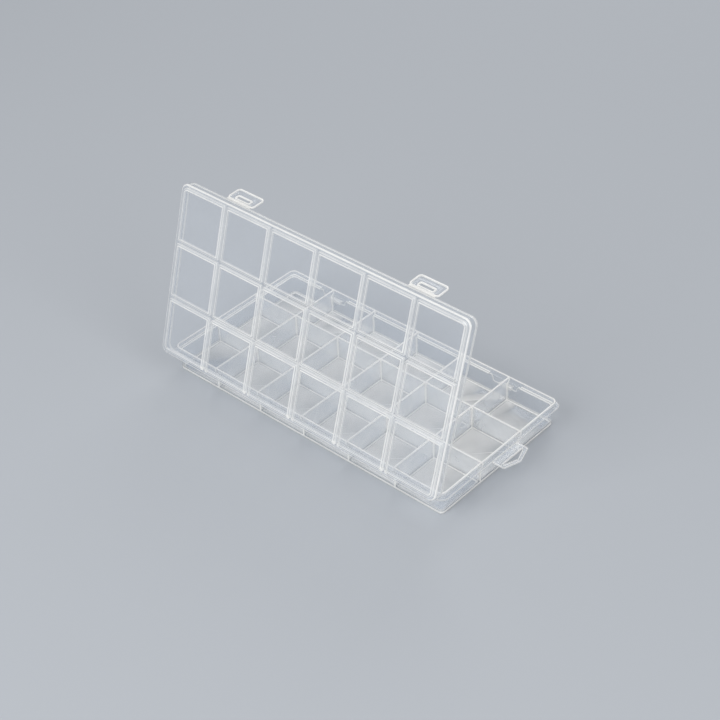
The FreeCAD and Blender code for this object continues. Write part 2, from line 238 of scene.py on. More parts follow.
def round_edge(
    corner: tuple[float, float], come: Run, go: Run, shape: Round, depths: Sequence[float]
) -> list[Level]:
    """Round a corner of a section off in two steps.

    Args:
        corner: Offset and height of the sharp corner.
        come: The way that the section runs to the corner.
        go: The way that it runs on.
        shape: The round.
        depths: Plastic behind the start, the middle and the end of the round.

    Returns:
        The levels of the round's start, middle and end.
    """
    back_x, back_y = come.value
    on_x, on_y = go.value
    steps = [
        (-back_x * shape.across, -back_y * shape.down),
        ((on_x - back_x) * shape.middle_across, (on_y - back_y) * shape.middle_down),
        (on_x * shape.across, on_y * shape.down),
    ]
    return [Level(corner[0] + x, corner[1] + y, depth) for (x, y), depth in zip(steps, depths)]


def rounded_outline(
    low: tuple[float, float],
    high: tuple[float, float],
    radii: Sequence[float],
    steps: Sequence[int],
    shoulder: float,
    borders: Sequence[bool] = (False, False, False, False),
    back_stops: Sequence[float] = (),
) -> list[PlanPoint]:
    """Draw a rectangle in plan with a radius of its own at each corner.

    Args:
        low: Left and front side.
        high: Right and back side.
        radii: Corner radii, anticlockwise from the front left.
        steps: Steps of each corner's arc, in the same order.
        shoulder: How far from each arc the straight sides get a point of their own.
        borders: Whether the front, right, back and left side is a wall of the tray.
        back_stops: Places along X where the back side gets a point of its own.

    Returns:
        The outline's points, anticlockwise.
    """
    points = []
    for index, (sign_x, sign_y) in enumerate(CORNER_SIGNS):
        radius = radii[index]
        centre_x = (high[0] if sign_x > 0 else low[0]) - sign_x * radius
        centre_y = (high[1] if sign_y > 0 else low[1]) - sign_y * radius
        start = math.radians(180 + 90 * index)
        before = float(borders[index - 1])
        after = float(borders[index])
        arc = []
        for step in range(steps[index] + 1):
            share = step / steps[index]
            angle = start + share * math.pi / 2
            x = centre_x + radius * math.cos(angle)
            y = centre_y + radius * math.sin(angle)
            arc.append(PlanPoint(x, y, before + (after - before) * share, 1.0))
        # The arc starts along the side before it and ends along the side after it
        back_x = -math.sin(start) * shoulder
        back_y = math.cos(start) * shoulder
        on_x = math.cos(start) * shoulder
        on_y = math.sin(start) * shoulder
        points.append(PlanPoint(arc[0].x - back_x, arc[0].y - back_y, before))
        points.extend(arc)
        points.append(PlanPoint(arc[-1].x - on_x, arc[-1].y - on_y, after))
        if index == 2:
            points.extend(PlanPoint(stop, high[1], after) for stop in sorted(back_stops, reverse=True))
    return points


def rounded_polygon(corners: Sequence[Vector], radius: float, inset: float, steps: int) -> list[Vector]:
    """Draw a convex polygon in plan, set in all round and with round corners.

    Args:
        corners: The corners, anticlockwise.
        radius: Radius of the round corners.
        inset: How far the sides are set in; negative sets them out.
        steps: Steps of each corner's arc.

    Returns:
        The outline's points, anticlockwise.
    """
    ways = [(after - before).normalized() for before, after in zip(corners, [*corners[1:], corners[0]])]
    points = []
    for index, corner in enumerate(corners):
        before = ways[index - 1]
        after = ways[index]
        turn = math.acos(max(-1.0, min(1.0, before.dot(after))))
        half_way = (after - before).normalized()
        # From the corner, the middle of the arc lies on the line that halves it
        middle = corner + half_way * ((inset + radius) / math.cos(turn / 2))
        start = math.atan2(-before.x, before.y)
        for step in range(steps + 1):
            angle = start + turn * step / steps
            points.append(middle + Vector((math.cos(angle), math.sin(angle))) * radius)
    return points


def heading(line: Sequence[Vector], index: int) -> Vector:
    """The way along a line at one of its points."""
    return (line[min(index + 1, len(line) - 1)] - line[max(index - 1, 0)]).normalized()


class ShellMesh:
    """Points and faces of one closed moulding, each point with the depth of plastic behind it."""

    def __init__(self) -> None:
        """Start with no points."""
        self.points: list[Vector] = []
        self.depths: list[float] = []
        self.faces: list[Sequence[int]] = []

    def add(self, points: Iterable[Vector], depths: float | Iterable[float]) -> list[int]:
        """Add a row of points.

        Args:
            points: The points, in millimetres.
            depths: Plastic behind them, one value for all or one each, in millimetres.

        Returns:
            The points' indices.
        """
        first = len(self.points)
        self.points.extend(points)
        count = len(self.points) - first
        self.depths.extend([depths] * count if isinstance(depths, (int, float)) else depths)
        return list(range(first, len(self.points)))

    def bridge(self, first: Sequence[int], second: Sequence[int]) -> None:
        """Join two closed rows of as many points with quads.

        Args:
            first: Indices of one row.
            second: Indices of the other.
        """
        for index in range(len(first)):
            following = (index + 1) % len(first)
            self.faces.append((first[index], first[following], second[following], second[index]))

    def stack(self, rings: Sequence[Sequence[int]]) -> None:
        """Join each ring of a list to the one after it."""
        for first, second in zip(rings, rings[1:]):
            self.bridge(first, second)

    def cap(self, ring: Sequence[int]) -> None:
        """Close a ring with one face."""
        self.faces.append(tuple(ring))

    def cup(self, rings: Sequence[Sequence[int]]) -> Sequence[int]:
        """Join rings one to the next and close the last.

        Args:
            rings: The rings' indices.

        Returns:
            The first ring, which stays open.
        """
        self.stack(rings)
        self.cap(rings[-1])
        return rings[0]

    def rod(self, rings: Sequence[Sequence[int]]) -> None:
        """Join rings one to the next and close both ends.

        Args:
            rings: The rings' indices.
        """
        self.stack(rings)
        self.cap(rings[0])
        self.cap(rings[-1])

    def region(self, outer: Sequence[int], holes: Sequence[Sequence[int]]) -> None:
        """Fill the area between a convex ring and the convex holes in it, seen from above.

        Args:
            outer: The ring round the area.
            holes: The rings of the holes.
        """
        rings = [outer, *holes]
        members = [index for ring in rings for index in ring]
        owners = [number for number, ring in enumerate(rings) for _ in ring]
        flat = [Vector(self.points[index][:2]) for index in members]
        edges = []
        start = 0
        for ring in rings:
            edges.extend((start + k, start + (k + 1) % len(ring)) for k in range(len(ring)))
            start += len(ring)
        triangles, origins = delaunay_2d_cdt(flat, edges, [], 0, MERGE_REACH)[2:4]
        for triangle in triangles:
            corners = [origins[corner][0] for corner in triangle]
            held = {owners[corner] for corner in corners}
            if len(held) > 1 or 0 in held:
                self.faces.append([members[corner] for corner in corners])

    def make(self, name: str, place: Matrix = Matrix.Identity(4)) -> bpy.types.Object:
        """Turn the shell into an object of the scene.

        Args:
            name: The object's name.
            place: Where the drawn shell stands, in millimetres.

        Returns:
            The new object, with its depth of plastic as a point attribute.
        """
        mesh = bpy.data.meshes.new(name)
        mesh.from_pydata([(place @ point) * MM for point in self.points], [], self.faces)
        work = bmesh.new()
        work.from_mesh(mesh)
        bmesh.ops.recalc_face_normals(work, faces=work.faces)
        work.to_mesh(mesh)
        work.free()
        mesh.attributes.new(DEPTH_NAME, "FLOAT", "POINT").data.foreach_set("value", self.depths)
        mesh.shade_smooth()
        mesh.set_sharp_from_angle(angle=math.radians(SHARP_ANGLE))
        piece = bpy.data.objects.new(name, mesh)
        bpy.context.scene.collection.objects.link(piece)
        return piece


@dataclass(frozen=True)
class MouldedPolypropylene:
    """Natural polypropylene, injection moulded in a polished tool.

    Thin walls show what is behind them under a cool milky veil. Edges, corners and beads gather more plastic
    behind them, so that the veil closes to a warm white there. The same deep white is also painted where
    light alone makes the
    plastic bright: in a band at the tray's foot, for the glow of light piped down its walls, and at the lid
    pads' corners by the fold, for glints.
    """

    name: str
    veil_mm: float = 9.0
    thin_colour: str = "#E0EBFA"
    deep_colour: str = "#FBFAF7"
    warm_at: float = 0.45
    roughness: float = 0.2
    refraction: float = 1.49
    cloud_mm: float = 18.0
    cloud_band: tuple[float, float] = (0.3, 0.7)
    cloud_swing: float = 0.18
    wave_mm: float = 14.0
    thin_through: float = 0.5
    deep_through: float = 0.15

    def veil(self, tree: bpy.types.NodeTree, place: bpy.types.NodeSocket) -> bpy.types.NodeSocket:
        """Work out how far the plastic behind a face closes the sight through it.

        Args:
            tree: The material's node tree.
            place: The socket of the place on the moulding.

        Returns:
            A socket from 0, clear, to 1, closed.
        """
        depth = add_node(tree, "ShaderNodeAttribute", {"attribute_name": DEPTH_NAME}).outputs["Fac"]
        # Flow in the mould leaves the veil a little uneven
        cloud = add_node(
            tree,
            "ShaderNodeTexNoise",
            {"Scale": 1 / (self.cloud_mm * MM), "Detail": 3.0, "Distortion": 0.6},
            {"Vector": place},
        )
        uneven = add_node(
            tree,
            "ShaderNodeMapRange",
            {
                "From Min": self.cloud_band[0],
                "From Max": self.cloud_band[1],
                "To Min": (self.cloud_swing - 1) / self.veil_mm,
                "To Max": (-self.cloud_swing - 1) / self.veil_mm,
            },
            {"Value": cloud.outputs["Fac"]},
        )
        clear_share = math_node(tree, "EXPONENT", math_node(tree, "MULTIPLY", depth, uneven.outputs[0]))
        return math_node(tree, "SUBTRACT", 1.0, clear_share)

    def waves(self, tree: bpy.types.NodeTree, place: bpy.types.NodeSocket) -> bpy.types.NodeSocket:
        """Leave the moulding faintly wavy, from shrinkage, so that its shine is never quite even.

        Args:
            tree: The material's node tree.
            place: The socket of the place on the moulding.

        Returns:
            The socket of the wavy normal.
        """
        wave = add_node(
            tree, "ShaderNodeTexNoise", {"Scale": 1 / (self.wave_mm * MM), "Detail": 1.0}, {"Vector": place}
        )
        return add_node(
            tree, "ShaderNodeBump", {"Strength": 0.1, "Distance": 0.0003}, {"Height": wave.outputs["Fac"]}
        ).outputs[0]

    def body(
        self, tree: bpy.types.NodeTree, veil: bpy.types.NodeSocket, normal: bpy.types.NodeSocket
    ) -> bpy.types.NodeSocket:
        """Make the milky plastic itself.

        Args:
            tree: The material's node tree.
            veil: The socket of the veil.
            normal: The socket of the wavy normal.

        Returns:
            The plastic's shader.
        """
        # Thin plastic scatters the blue part of the light more, thick plastic scatters all of it
        warmth = add_node(tree, "ShaderNodeMapRange", {"From Max": self.warm_at}, {"Value": veil})
        colour = add_node(
            tree,
            "ShaderNodeMix",
            {"data_type": "RGBA", 6: linear(self.thin_colour), 7: linear(self.deep_colour)},
            {0: warmth.outputs[0]},
        ).outputs[2]
        milk = add_node(
            tree,
            "ShaderNodeBsdfPrincipled",
            {"Roughness": 0.6, "Specular IOR Level": 0.0},
            {"Base Color": colour, "Normal": normal},
        )
        glow = add_node(tree, "ShaderNodeBsdfTranslucent", {}, {"Color": colour, "Normal": normal})
        # A thin veil passes half of its light on, thick plastic throws most of it back
        through = add_node(
            tree,
            "ShaderNodeMapRange",
            {"To Min": self.thin_through, "To Max": self.deep_through},
            {"Value": veil},
        )
        return mix_shaders(tree, through.outputs[0], milk.outputs[0], glow.outputs[0])

    def gloss_share(self, tree: bpy.types.NodeTree) -> bpy.types.NodeSocket:
        """Work out the gloss by Schlick's rule, the same from both sides of a face.

        Args:
            tree: The material's node tree.

        Returns:
            The socket of the gloss's share.
        """
        facing = add_node(tree, "ShaderNodeLayerWeight", {"Blend": 0.5}).outputs["Facing"]
        straight = ((self.refraction - 1) / (self.refraction + 1)) ** 2
        return math_node(tree, "MULTIPLY_ADD", math_node(tree, "POWER", facing, 5.0), 1 - straight, straight)

    def material(self) -> bpy.types.Material:
        """Build the node material.

        Returns:
            The new material.
        """
        material, tree = new_material(self.name)
        place = add_node(tree, "ShaderNodeTexCoord").outputs["Object"]
        veil = self.veil(tree, place)
        normal = self.waves(tree, place)
        clear = add_node(tree, "ShaderNodeBsdfTransparent")
        wall = mix_shaders(tree, veil, clear.outputs[0], self.body(tree, veil, normal))
        gloss = add_node(tree, "ShaderNodeBsdfGlossy", {"Roughness": self.roughness}, {"Normal": normal})
        surface = mix_shaders(tree, self.gloss_share(tree), wall, gloss.outputs[0])
        add_node(tree, "ShaderNodeOutputMaterial", {}, {"Surface": surface})
        return material


@dataclass(frozen=True)
class MattPaper:
    """Matt backdrop paper: even and pale, with a faint tooth and no shine.

    Far from the box, out of the lamps' reach, it is seen in the even tone of the backdrop.
    """

    name: str = "matt_backdrop_paper"
    colour: str = "#B4B8BD"
    far_colour: str = "#AEB3B9"
    tooth_mm: float = 3.0
    fade_start_mm: float = 700.0
    fade_end_mm: float = 2400.0

    def material(self) -> bpy.types.Material:
        """Build the node material.

        Returns:
            The new material.
        """
        material, tree = new_material(self.name)
        place = add_node(tree, "ShaderNodeTexCoord").outputs["Object"]
        tooth = add_node(tree, "ShaderNodeTexNoise", {"Scale": 1 / (self.tooth_mm * MM)}, {"Vector": place})
        normal = add_node(
            tree, "ShaderNodeBump", {"Strength": 0.03, "Distance": 0.0002}, {"Height": tooth.outputs["Fac"]}
        )
        paper = add_node(
            tree,
            "ShaderNodeBsdfPrincipled",
            {"Base Color": linear(self.colour), "Roughness": 0.9, "Specular IOR Level": 0.1},
            {"Normal": normal.outputs[0]},
        )
        away = add_node(tree, "ShaderNodeVectorMath", {"operation": "LENGTH"}, {0: place})
        far = add_node(
            tree,
            "ShaderNodeMapRange",
            {"From Min": self.fade_start_mm * MM, "From Max": self.fade_end_mm * MM},
            {"Value": away.outputs["Value"]},
        )
        fade = math_node(tree, "MULTIPLY", far.outputs[0], seen_share(tree))
        even = add_node(tree, "ShaderNodeEmission", {"Color": linear(self.far_colour), "Strength": 1.0})
        surface = mix_shaders(tree, fade, paper.outputs[0], even.outputs[0])
        add_node(tree, "ShaderNodeOutputMaterial", {}, {"Surface": surface})
        return material


@dataclass(frozen=True)
class BoxSizes:
    """Sizes that several pieces share, in millimetres and degrees."""

    half_length: float = 115.2
    half_width: float = 56.6
    corner_radius: float = 3.1
    corner_growth: float = 0.55
    height: float = 18.9
    lip_height: float = 3.3
    flange_overhang: float = 3.7
    flange_thickness: float = 1.4
    divider_thickness: float = 1.1
    lip_inside: float = 0.7
    seam_gap: float = 0.2
    leaf_reach: float = 2.4
    web_length: float = 1.6
    web_thickness: float = 0.4
    latch_width: float = 23.0
    latch_side_clearance: float = 1.0
    latch_shift: float = 2.2
    lid_open_angle: float = 73.2
    latch_open_angle: float = 19.3
    columns: int = 6
    rows: int = 3

    def corner_at(self, offset: float) -> float:
        """Radius of the box's corners at an offset from the tray's wall."""
        return self.corner_radius + self.corner_growth * offset

    def at_sides(self, column: int, row: int) -> tuple[bool, bool, bool, bool]:
        """Whether a cell of the grid is at the front, right, back and left side."""
        return (row == 0, column == self.columns - 1, row == self.rows - 1, column == 0)

    def at_corners(self, column: int, row: int) -> list[bool]:
        """Whether each corner of a cell is a corner of the box, anticlockwise from the front left."""
        sides = self.at_sides(column, row)
        return [sides[index - 1] and sides[index] for index in range(4)]

    def latch_middle(self, latch: Latch) -> float:
        """Place of a latch's middle along the box."""
        return latch.value * self.latch_x

    @property
    def flange_top(self) -> float:
        """Height of the flange's upper face."""
        return self.height - self.lip_height

    @property
    def flange_bottom(self) -> float:
        """Height of the flange's lower face."""
        return self.flange_top - self.flange_thickness

    @property
    def lid_low(self) -> float:
        """Height of the shut lid's lower edge."""
        return self.flange_top + self.seam_gap

    @property
    def column_pitch(self) -> float:
        """Spacing of the compartments along the box."""
        return (2 * (self.half_length + self.lip_inside) + self.divider_thickness) / self.columns

    @property
    def row_pitch(self) -> float:
        """Spacing of the compartments across the box."""
        return (2 * (self.half_width + self.lip_inside) + self.divider_thickness) / self.rows

    @property
    def latch_x(self) -> float:
        """Distance of each latch from the middle."""
        return 2 * self.column_pitch - self.latch_shift

    @property
    def half_land(self) -> float:
        """Half the gap that the flange leaves for a latch tab."""
        return self.latch_width / 2 + self.latch_side_clearance

    @property
    def fold(self) -> Vector:
        """The middle of the line that the lid folds on."""
        reach = self.half_width + self.flange_overhang + self.leaf_reach
        return Vector((0, -reach, self.flange_top + self.seam_gap / 2))

    @property
    def latch_fold(self) -> Vector:
        """The line that the latch tabs fold on, with the lid shut."""
        reach = self.half_width + self.flange_overhang - self.web_thickness / 2
        return Vector((0, reach, self.lid_low - self.web_length / 2))

    @property
    def lid_swing(self) -> Matrix:
        """The turn about the fold that opens the lid."""
        turn = Matrix.Rotation(math.radians(self.lid_open_angle), 4, "X")
        return Matrix.Translation(self.fold) @ turn @ Matrix.Translation(-self.fold)

    def latch_place(self, latch: Latch) -> Matrix:
        """Find where a latch tab that is drawn flat from its fold stands on the open lid.

        Args:
            latch: Which of the two latches.

        Returns:
            The tab's place, in millimetres.
        """
        turn = math.radians(self.lid_open_angle + self.latch_open_angle - 90)
        place = self.lid_swing @ self.latch_fold + Vector((self.latch_middle(latch), 0, 0))
        return Matrix.Translation(place) @ Matrix.Rotation(turn, 4, "X")


@dataclass
class Perimeter:
    """A rounded rectangle whose rings have as many points at every offset."""

    sizes: BoxSizes
    front_stops: Sequence[float] = ()
    back_stops: Sequence[float] = ()
    end_stops: Sequence[float] = ()
    steps: int = 12
    stations: list[tuple[Vector, Vector]] = field(default_factory=list)

    def __post_init__(self) -> None:
        """Work out each station: a point on the tray's wall and the way out from it."""
        reach = Vector((self.sizes.half_length, self.sizes.half_width))
        radius = self.sizes.corner_radius
        growth = self.sizes.corner_growth
        for index, signs in enumerate(CORNER_SIGNS):
            centre = Vector((signs[0] * (reach.x - radius), signs[1] * (reach.y - radius)))
            for step in range(self.steps + 1):
                angle = math.radians(180 + 90 * (index + step / self.steps))
                way = Vector((math.cos(angle), math.sin(angle)))
                self.stations.append((centre + way * radius, way * growth + Vector(signs) * (1 - growth)))
            # The straight side after the corner
            along = Vector((1, 0)) if index % 2 == 0 else Vector((0, 1))
            out = Vector((0, signs[1])) if index % 2 == 0 else Vector((signs[0], 0))
            wall = Vector((out.x * reach.x, out.y * reach.y))
            stops = (self.front_stops, self.end_stops, self.back_stops, self.end_stops)[index]
            for stop in sorted(stops, reverse=index > 1):
                self.stations.append((wall + along * stop, out))

    def ring(self, offset: float, height: float) -> list[Vector]:
        """The ring at an offset from the tray's wall and a height."""
        return [(base + way * offset).to_3d() + Vector((0, 0, height)) for base, way in self.stations]


@dataclass
class TrayMoulding:
    """The tray: floor, walls with a stepped rim and flange, and the dividers, as one shell."""

    sizes: BoxSizes
    wall: float = 1.2
    floor: float = 1.2
    lip_step: float = 1.7
    divider_drop: float = 0.4
    edge_round: Round = Round(0.25, 0.25, 0.07, 0.07)
    edge_fade: float = 0.8
    edge_side_share: float = 0.8
    lip_root: Round = Round(0.3, 0.6, 0.08, 0.12)
    lip_root_depth: float = 4.0
    flange_round: Round = Round(0.5, 0.4, 0.15, 0.15)
    flange_root: Round = Round(0.4, 0.4, 0.1, 0.1)
    flange_root_depths: tuple[float, float] = (3.0, 2.0)
    flange_root_fade: float = 1.0
    flange_end: float = 2.0
    flange_end_steps: int = 6
    least_flange: float = 0.02
    ledge_root: Round = Round(0.6, 0.35, 0.3, 0.05)
    ledge_root_fade: float = 0.7
    ledge_round: Round = Round(0.6, 0.3, 0.3, 0.0)
    ledge_round_fade: float = 0.8
    ledge_core_share: float = 0.35
    # Heights, from the ledge, of the rings beside it where they run along the dividers
    divider_rises: Sequence[float] = (0.35, 0.2, 0.1, 0.0, -0.1, -0.3)
    land_reach: float = 2.0
    land_end: float = 0.7
    land_clear: float = 3.0
    foot_round: Round = Round(0.45, 0.45, 0.13, 0.13)
    # Height of a painted glow at the wall's foot, a band of deep white plastic, and of its fade
    foot_glow_band: float = 1.8
    foot_glow_band_fade: float = 0.5
    underside_fade: float = 1.4
    inner_foot_fade: float = 1.1
    inner_floor_fade: float = 0.9
    corner_round: float = 0.35
    corner_steps: int = 4
    least_round: float = 0.2
    outer_corner_steps: int = 12
    shoulder: float = 0.6
    divider_mark: float = 0.45
    divider_mark_fade: float = 0.5
    # How close to a place a point counts as being there, and how straight out a wall's side faces
    slack: float = 0.1
    straight_out: float = 0.99
    wall_depth: float = 1.1
    lip_depth: float = 1.5
    ledge_depth: float = 18.0
    flange_depth: float = 8.0
    divider_depth: float = 3.4
    floor_depth: float = 0.9
    edge_depth: float = 18.0
    junction_depth: float = 16.0

    def divider_stops(self, count: int, pitch: float) -> list[float]:
        """Find the points along a wall that mark where dividers meet it from inside.

        Args:
            count: How many compartments stand along the wall.
            pitch: Their spacing.

        Returns:
            Four places for each divider: the ends of its mark, and where the mark has faded.
        """
        lines = [(index - count / 2) * pitch for index in range(1, count)]
        mark = self.divider_mark
        faded = mark + self.divider_mark_fade
        return [line + reach for line in lines for reach in (-faded, -mark, mark, faded)]

    def at_divider(self, base: Vector, way: Vector) -> bool:
        """Tell whether a divider stands behind a point of the wall.

        Args:
            base: The point, in plan.
            way: The way out from it.

        Returns:
            True within a divider's mark.
        """
        sizes = self.sizes
        if abs(way.y) > self.straight_out:
            along, count, pitch = base.x, sizes.columns, sizes.column_pitch
        elif abs(way.x) > self.straight_out:
            along, count, pitch = base.y, sizes.rows, sizes.row_pitch
        else:
            return False
        line = round(along / pitch + count / 2)
        away = abs(along - (line - count / 2) * pitch)
        return 0 < line < count and away < self.divider_mark + self.slack

    def latch_stops(self) -> list[float]:
        """Find the points along the back that shape the flange's round ends beside each latch.

        Returns:
            The places along X.
        """
        stops = []
        for latch in Latch:
            middle = self.sizes.latch_middle(latch)
            stops.append(middle)
            for way in (-1, 1):
                for step in range(self.flange_end_steps + 1):
                    reach = self.sizes.half_land + self.flange_end * step / self.flange_end_steps
                    stops.append(middle + way * reach)
        return stops

    def flange_share(self, base: Vector) -> float:
        """Work out how much of the flange stands at a point of the wall.

        Args:
            base: The point, in plan.

        Returns:
            A share from nearly none, where a latch tab comes down, to 1.
        """
        beyond = abs(abs(base.x) - self.sizes.latch_x) - self.sizes.half_land
        if base.y < self.sizes.half_width - self.slack or beyond >= self.flange_end:
            return 1.0
        if beyond <= 0:
            return self.least_flange
        return max(self.least_flange, math.sqrt(1 - (1 - beyond / self.flange_end) ** 2))

    def in_land(self, x: float) -> bool:
        """Whether a place along the back lies where a latch tab comes down, without a thick ledge."""
        return abs(abs(x) - self.sizes.latch_x) < self.sizes.half_land + self.slack

    def land_stops(self, low: float, high: float) -> list[float]:
        """Find the points along the back of a compartment at the ends of the lands.

        Args:
            low: The compartment's left side.
            high: Its right side.

        Returns:
            The places along X that lie clear of both sides.
        """
        stops = [
            self.sizes.latch_middle(latch) + way * (self.sizes.half_land + beyond)
            for latch in Latch
            for way in (-1, 1)
            for beyond in (0.0, self.land_end)
        ]
        return [stop for stop in stops if low + self.land_clear < stop < high - self.land_clear]

    def outside_levels(self) -> list[Level]:
        """List the rings of the outside.

        Returns:
            The levels, from the top of the lip to the underside.
        """
        top = self.sizes.height
        ledge = self.sizes.flange_top
        under = self.sizes.flange_bottom
        step = self.lip_step
        reach = self.sizes.flange_overhang
        wall = self.wall_depth
        edge = self.edge_depth
        rim = self.flange_depth
        lip_edge = (edge, edge, edge * self.edge_side_share)
        lip_root = (self.lip_depth, self.lip_root_depth, wall)
        return [
            *round_edge((step, top), Run.OUT, Run.DOWN, self.edge_round, lip_edge),
            Level(step, top - self.edge_fade, self.lip_depth),
            *round_edge((step, ledge), Run.DOWN, Run.OUT, self.lip_root, lip_root),
            *round_edge((reach, ledge), Run.OUT, Run.DOWN, self.flange_round, (wall, rim, rim)),
            *round_edge((reach, under), Run.DOWN, Run.IN, self.flange_round, (rim, rim, wall)),
            *round_edge((0.0, under), Run.IN, Run.DOWN, self.flange_root, (wall, *self.flange_root_depths)),
            Level(0.0, under - self.flange_root_fade, wall),
            # Painted glow: from the foot's round up to this band's top, the wall gets the edges' deep white
            # plastic, which stands in for the light that the wall pipes down to its foot edge
            Level(0.0, self.foot_glow_band + self.foot_glow_band_fade, wall),
            Level(0.0, self.foot_glow_band, edge),
            *round_edge((0.0, 0.0), Run.DOWN, Run.IN, self.foot_round, [edge] * 3),
            Level(-self.underside_fade, 0.0, self.floor_depth),
        ]

    def outside_ring(self, shell: ShellMesh, perimeter: Perimeter, level: Level) -> list[int]:
        """Add one ring of the outside, with the flange gone where the latch tabs pass.

        Args:
            shell: The shell that gets the ring.
            perimeter: The tray's outline.
            level: The ring's place and depth.

        Returns:
            The ring's indices.
        """
        points = []
        depths = []
        for base, way in perimeter.stations:
            reach = level.offset
            depth = level.depth
            if reach > self.lip_step:
                share = self.flange_share(base)
                reach = self.lip_step + (reach - self.lip_step) * share
                depth = self.wall_depth + (depth - self.wall_depth) * share
            elif reach >= 0 and self.at_divider(base, way):
                depth = max(depth, self.junction_depth)
            points.append((base + way * reach).to_3d() + Vector((0, 0, level.height)))
            depths.append(depth)
        return shell.add(points, depths)

    def rim_levels(self, offset: float, top: float, depth: float) -> list[Level]:
        """List the rings of a compartment's upper edge.

        Args:
            offset: Where the wall or the divider stands.
            top: Its height.
            depth: Plastic behind its plain face.

        Returns:
            The levels, down to the plain face.
        """
        edge = self.edge_depth
        depths = (edge, edge, edge * self.edge_side_share)
        return [
            *round_edge((offset, top), Run.IN, Run.DOWN, self.edge_round, depths),
            Level(offset, top - self.edge_fade, depth),
            Level(offset, self.sizes.flange_top + self.ledge_root_fade, depth),
        ]

    def foot_levels(self, offset: float, depth: float) -> list[Level]:
        """List the rings of a compartment below the ledge.

        Args:
            offset: Where the wall or the divider stands.
            depth: Plastic behind its plain face.

        Returns:
            The levels, down to the floor.
        """
        floor = self.floor
        return [
            Level(offset, self.sizes.flange_top - self.ledge_round_fade, depth),
            Level(offset, floor + self.inner_foot_fade, depth),
            *round_edge((offset, floor), Run.DOWN, Run.IN, self.foot_round, [self.edge_depth] * 3),
            Level(offset - self.inner_floor_fade, floor, self.floor_depth),
        ]

    def pocket_levels(self) -> list[PocketLevel]:
        """List the rings of a compartment.

        Returns:
            The levels, from its rim down over the ledge to its floor.
        """
        top = self.sizes.height
        ledge = self.sizes.flange_top
        lip = self.sizes.lip_inside
        face = -self.wall
        bar = self.ledge_depth
        core = bar * self.ledge_core_share
        plain = self.divider_depth
        ledge_levels = [
            *round_edge((lip, ledge), Run.DOWN, Run.IN, self.ledge_root, (bar, bar, core)),
            *round_edge((face, ledge), Run.IN, Run.DOWN, self.ledge_round, (core, bar, bar)),
        ]
        past_ledge = [Level(0.0, ledge + rise, plain) for rise in self.divider_rises]
        border_rim = self.rim_levels(lip, top, self.lip_depth)
        divider_rim = self.rim_levels(0.0, top - self.divider_drop, plain)
        border_foot = self.foot_levels(face, self.wall_depth)
        divider_foot = self.foot_levels(0.0, plain)
        return [
            *[PocketLevel(border, inner) for border, inner in zip(border_rim, divider_rim)],
            *[PocketLevel(border, inner, True) for border, inner in zip(ledge_levels, past_ledge)],
            *[PocketLevel(border, inner) for border, inner in zip(border_foot, divider_foot)],
        ]

    def pocket_ring(self, shell: ShellMesh, column: int, row: int, level: PocketLevel) -> list[int]:
        """Add one ring of one compartment.

        Args:
            shell: The shell that gets the ring.
            column: The compartment's column, from the left.
            row: The compartment's row, from the hinge.
            level: The ring's place and depth.

        Returns:
            The ring's indices.
        """
        sizes = self.sizes
        borders = sizes.at_sides(column, row)
        half = sizes.divider_thickness / 2 - level.inner.offset
        left = (column - sizes.columns / 2) * sizes.column_pitch + half
        right = (column + 1 - sizes.columns / 2) * sizes.column_pitch - half
        front = (row - sizes.rows / 2) * sizes.row_pitch + half
        back = (row + 1 - sizes.rows / 2) * sizes.row_pitch - half
        reach_x = sizes.half_length + level.border.offset
        reach_y = sizes.half_width + level.border.offset
        low = (-reach_x if borders[3] else left, -reach_y if borders[0] else front)
        high = (reach_x if borders[1] else right, reach_y if borders[2] else back)
        radii = []
        steps = []
        for outer in sizes.at_corners(column, row):
            inner_radius = self.corner_round + level.inner.offset
            radius = sizes.corner_at(level.border.offset) if outer else inner_radius
            radii.append(max(radius, self.least_round))
            steps.append(self.outer_corner_steps if outer else self.corner_steps)
        stops = self.land_stops(low[0], high[0]) if borders[2] else []
        outline = rounded_outline(low, high, radii, steps, self.shoulder, borders, stops)
        points = []
        depths = []
        for point in outline:
            height = level.inner.height + (level.border.height - level.inner.height) * point.border
            depth = level.inner.depth + (level.border.depth - level.inner.depth) * point.border
            by_back = borders[2] and point.y > sizes.half_width - self.land_reach
            if level.on_ledge and by_back and self.in_land(point.x):
                depth = self.wall_depth
            if point.corner and point.border < 1:
                depth = max(depth, self.junction_depth)
            points.append(Vector((point.x, point.y, height)))
            depths.append(depth)
        return shell.add(points, depths)

    def build(self) -> bpy.types.Object:
        """Build the tray's shell and put it on the tray's body.

        Returns:
            The tray's object.
        """
        shell = ShellMesh()
        columns = self.divider_stops(self.sizes.columns, self.sizes.column_pitch)
        rows = self.divider_stops(self.sizes.rows, self.sizes.row_pitch)
        perimeter = Perimeter(self.sizes, columns, [*columns, *self.latch_stops()], rows)
        outside = [self.outside_ring(shell, perimeter, level) for level in self.outside_levels()]
        shell.cup(outside)
        rims = []
        for row in range(self.sizes.rows):
            for column in range(self.sizes.columns):
                rings = [self.pocket_ring(shell, column, row, level) for level in self.pocket_levels()]
                rims.append(shell.cup(rings))
        shell.region(outside[0], rims)
        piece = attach(shell.make("tray_moulding"), "tray")
        stood_for = [
            node
            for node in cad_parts
            if node.startswith(("tray_", "row_divider", "column_divider", "latch_land"))
        ]
        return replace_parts(piece, *stood_for)


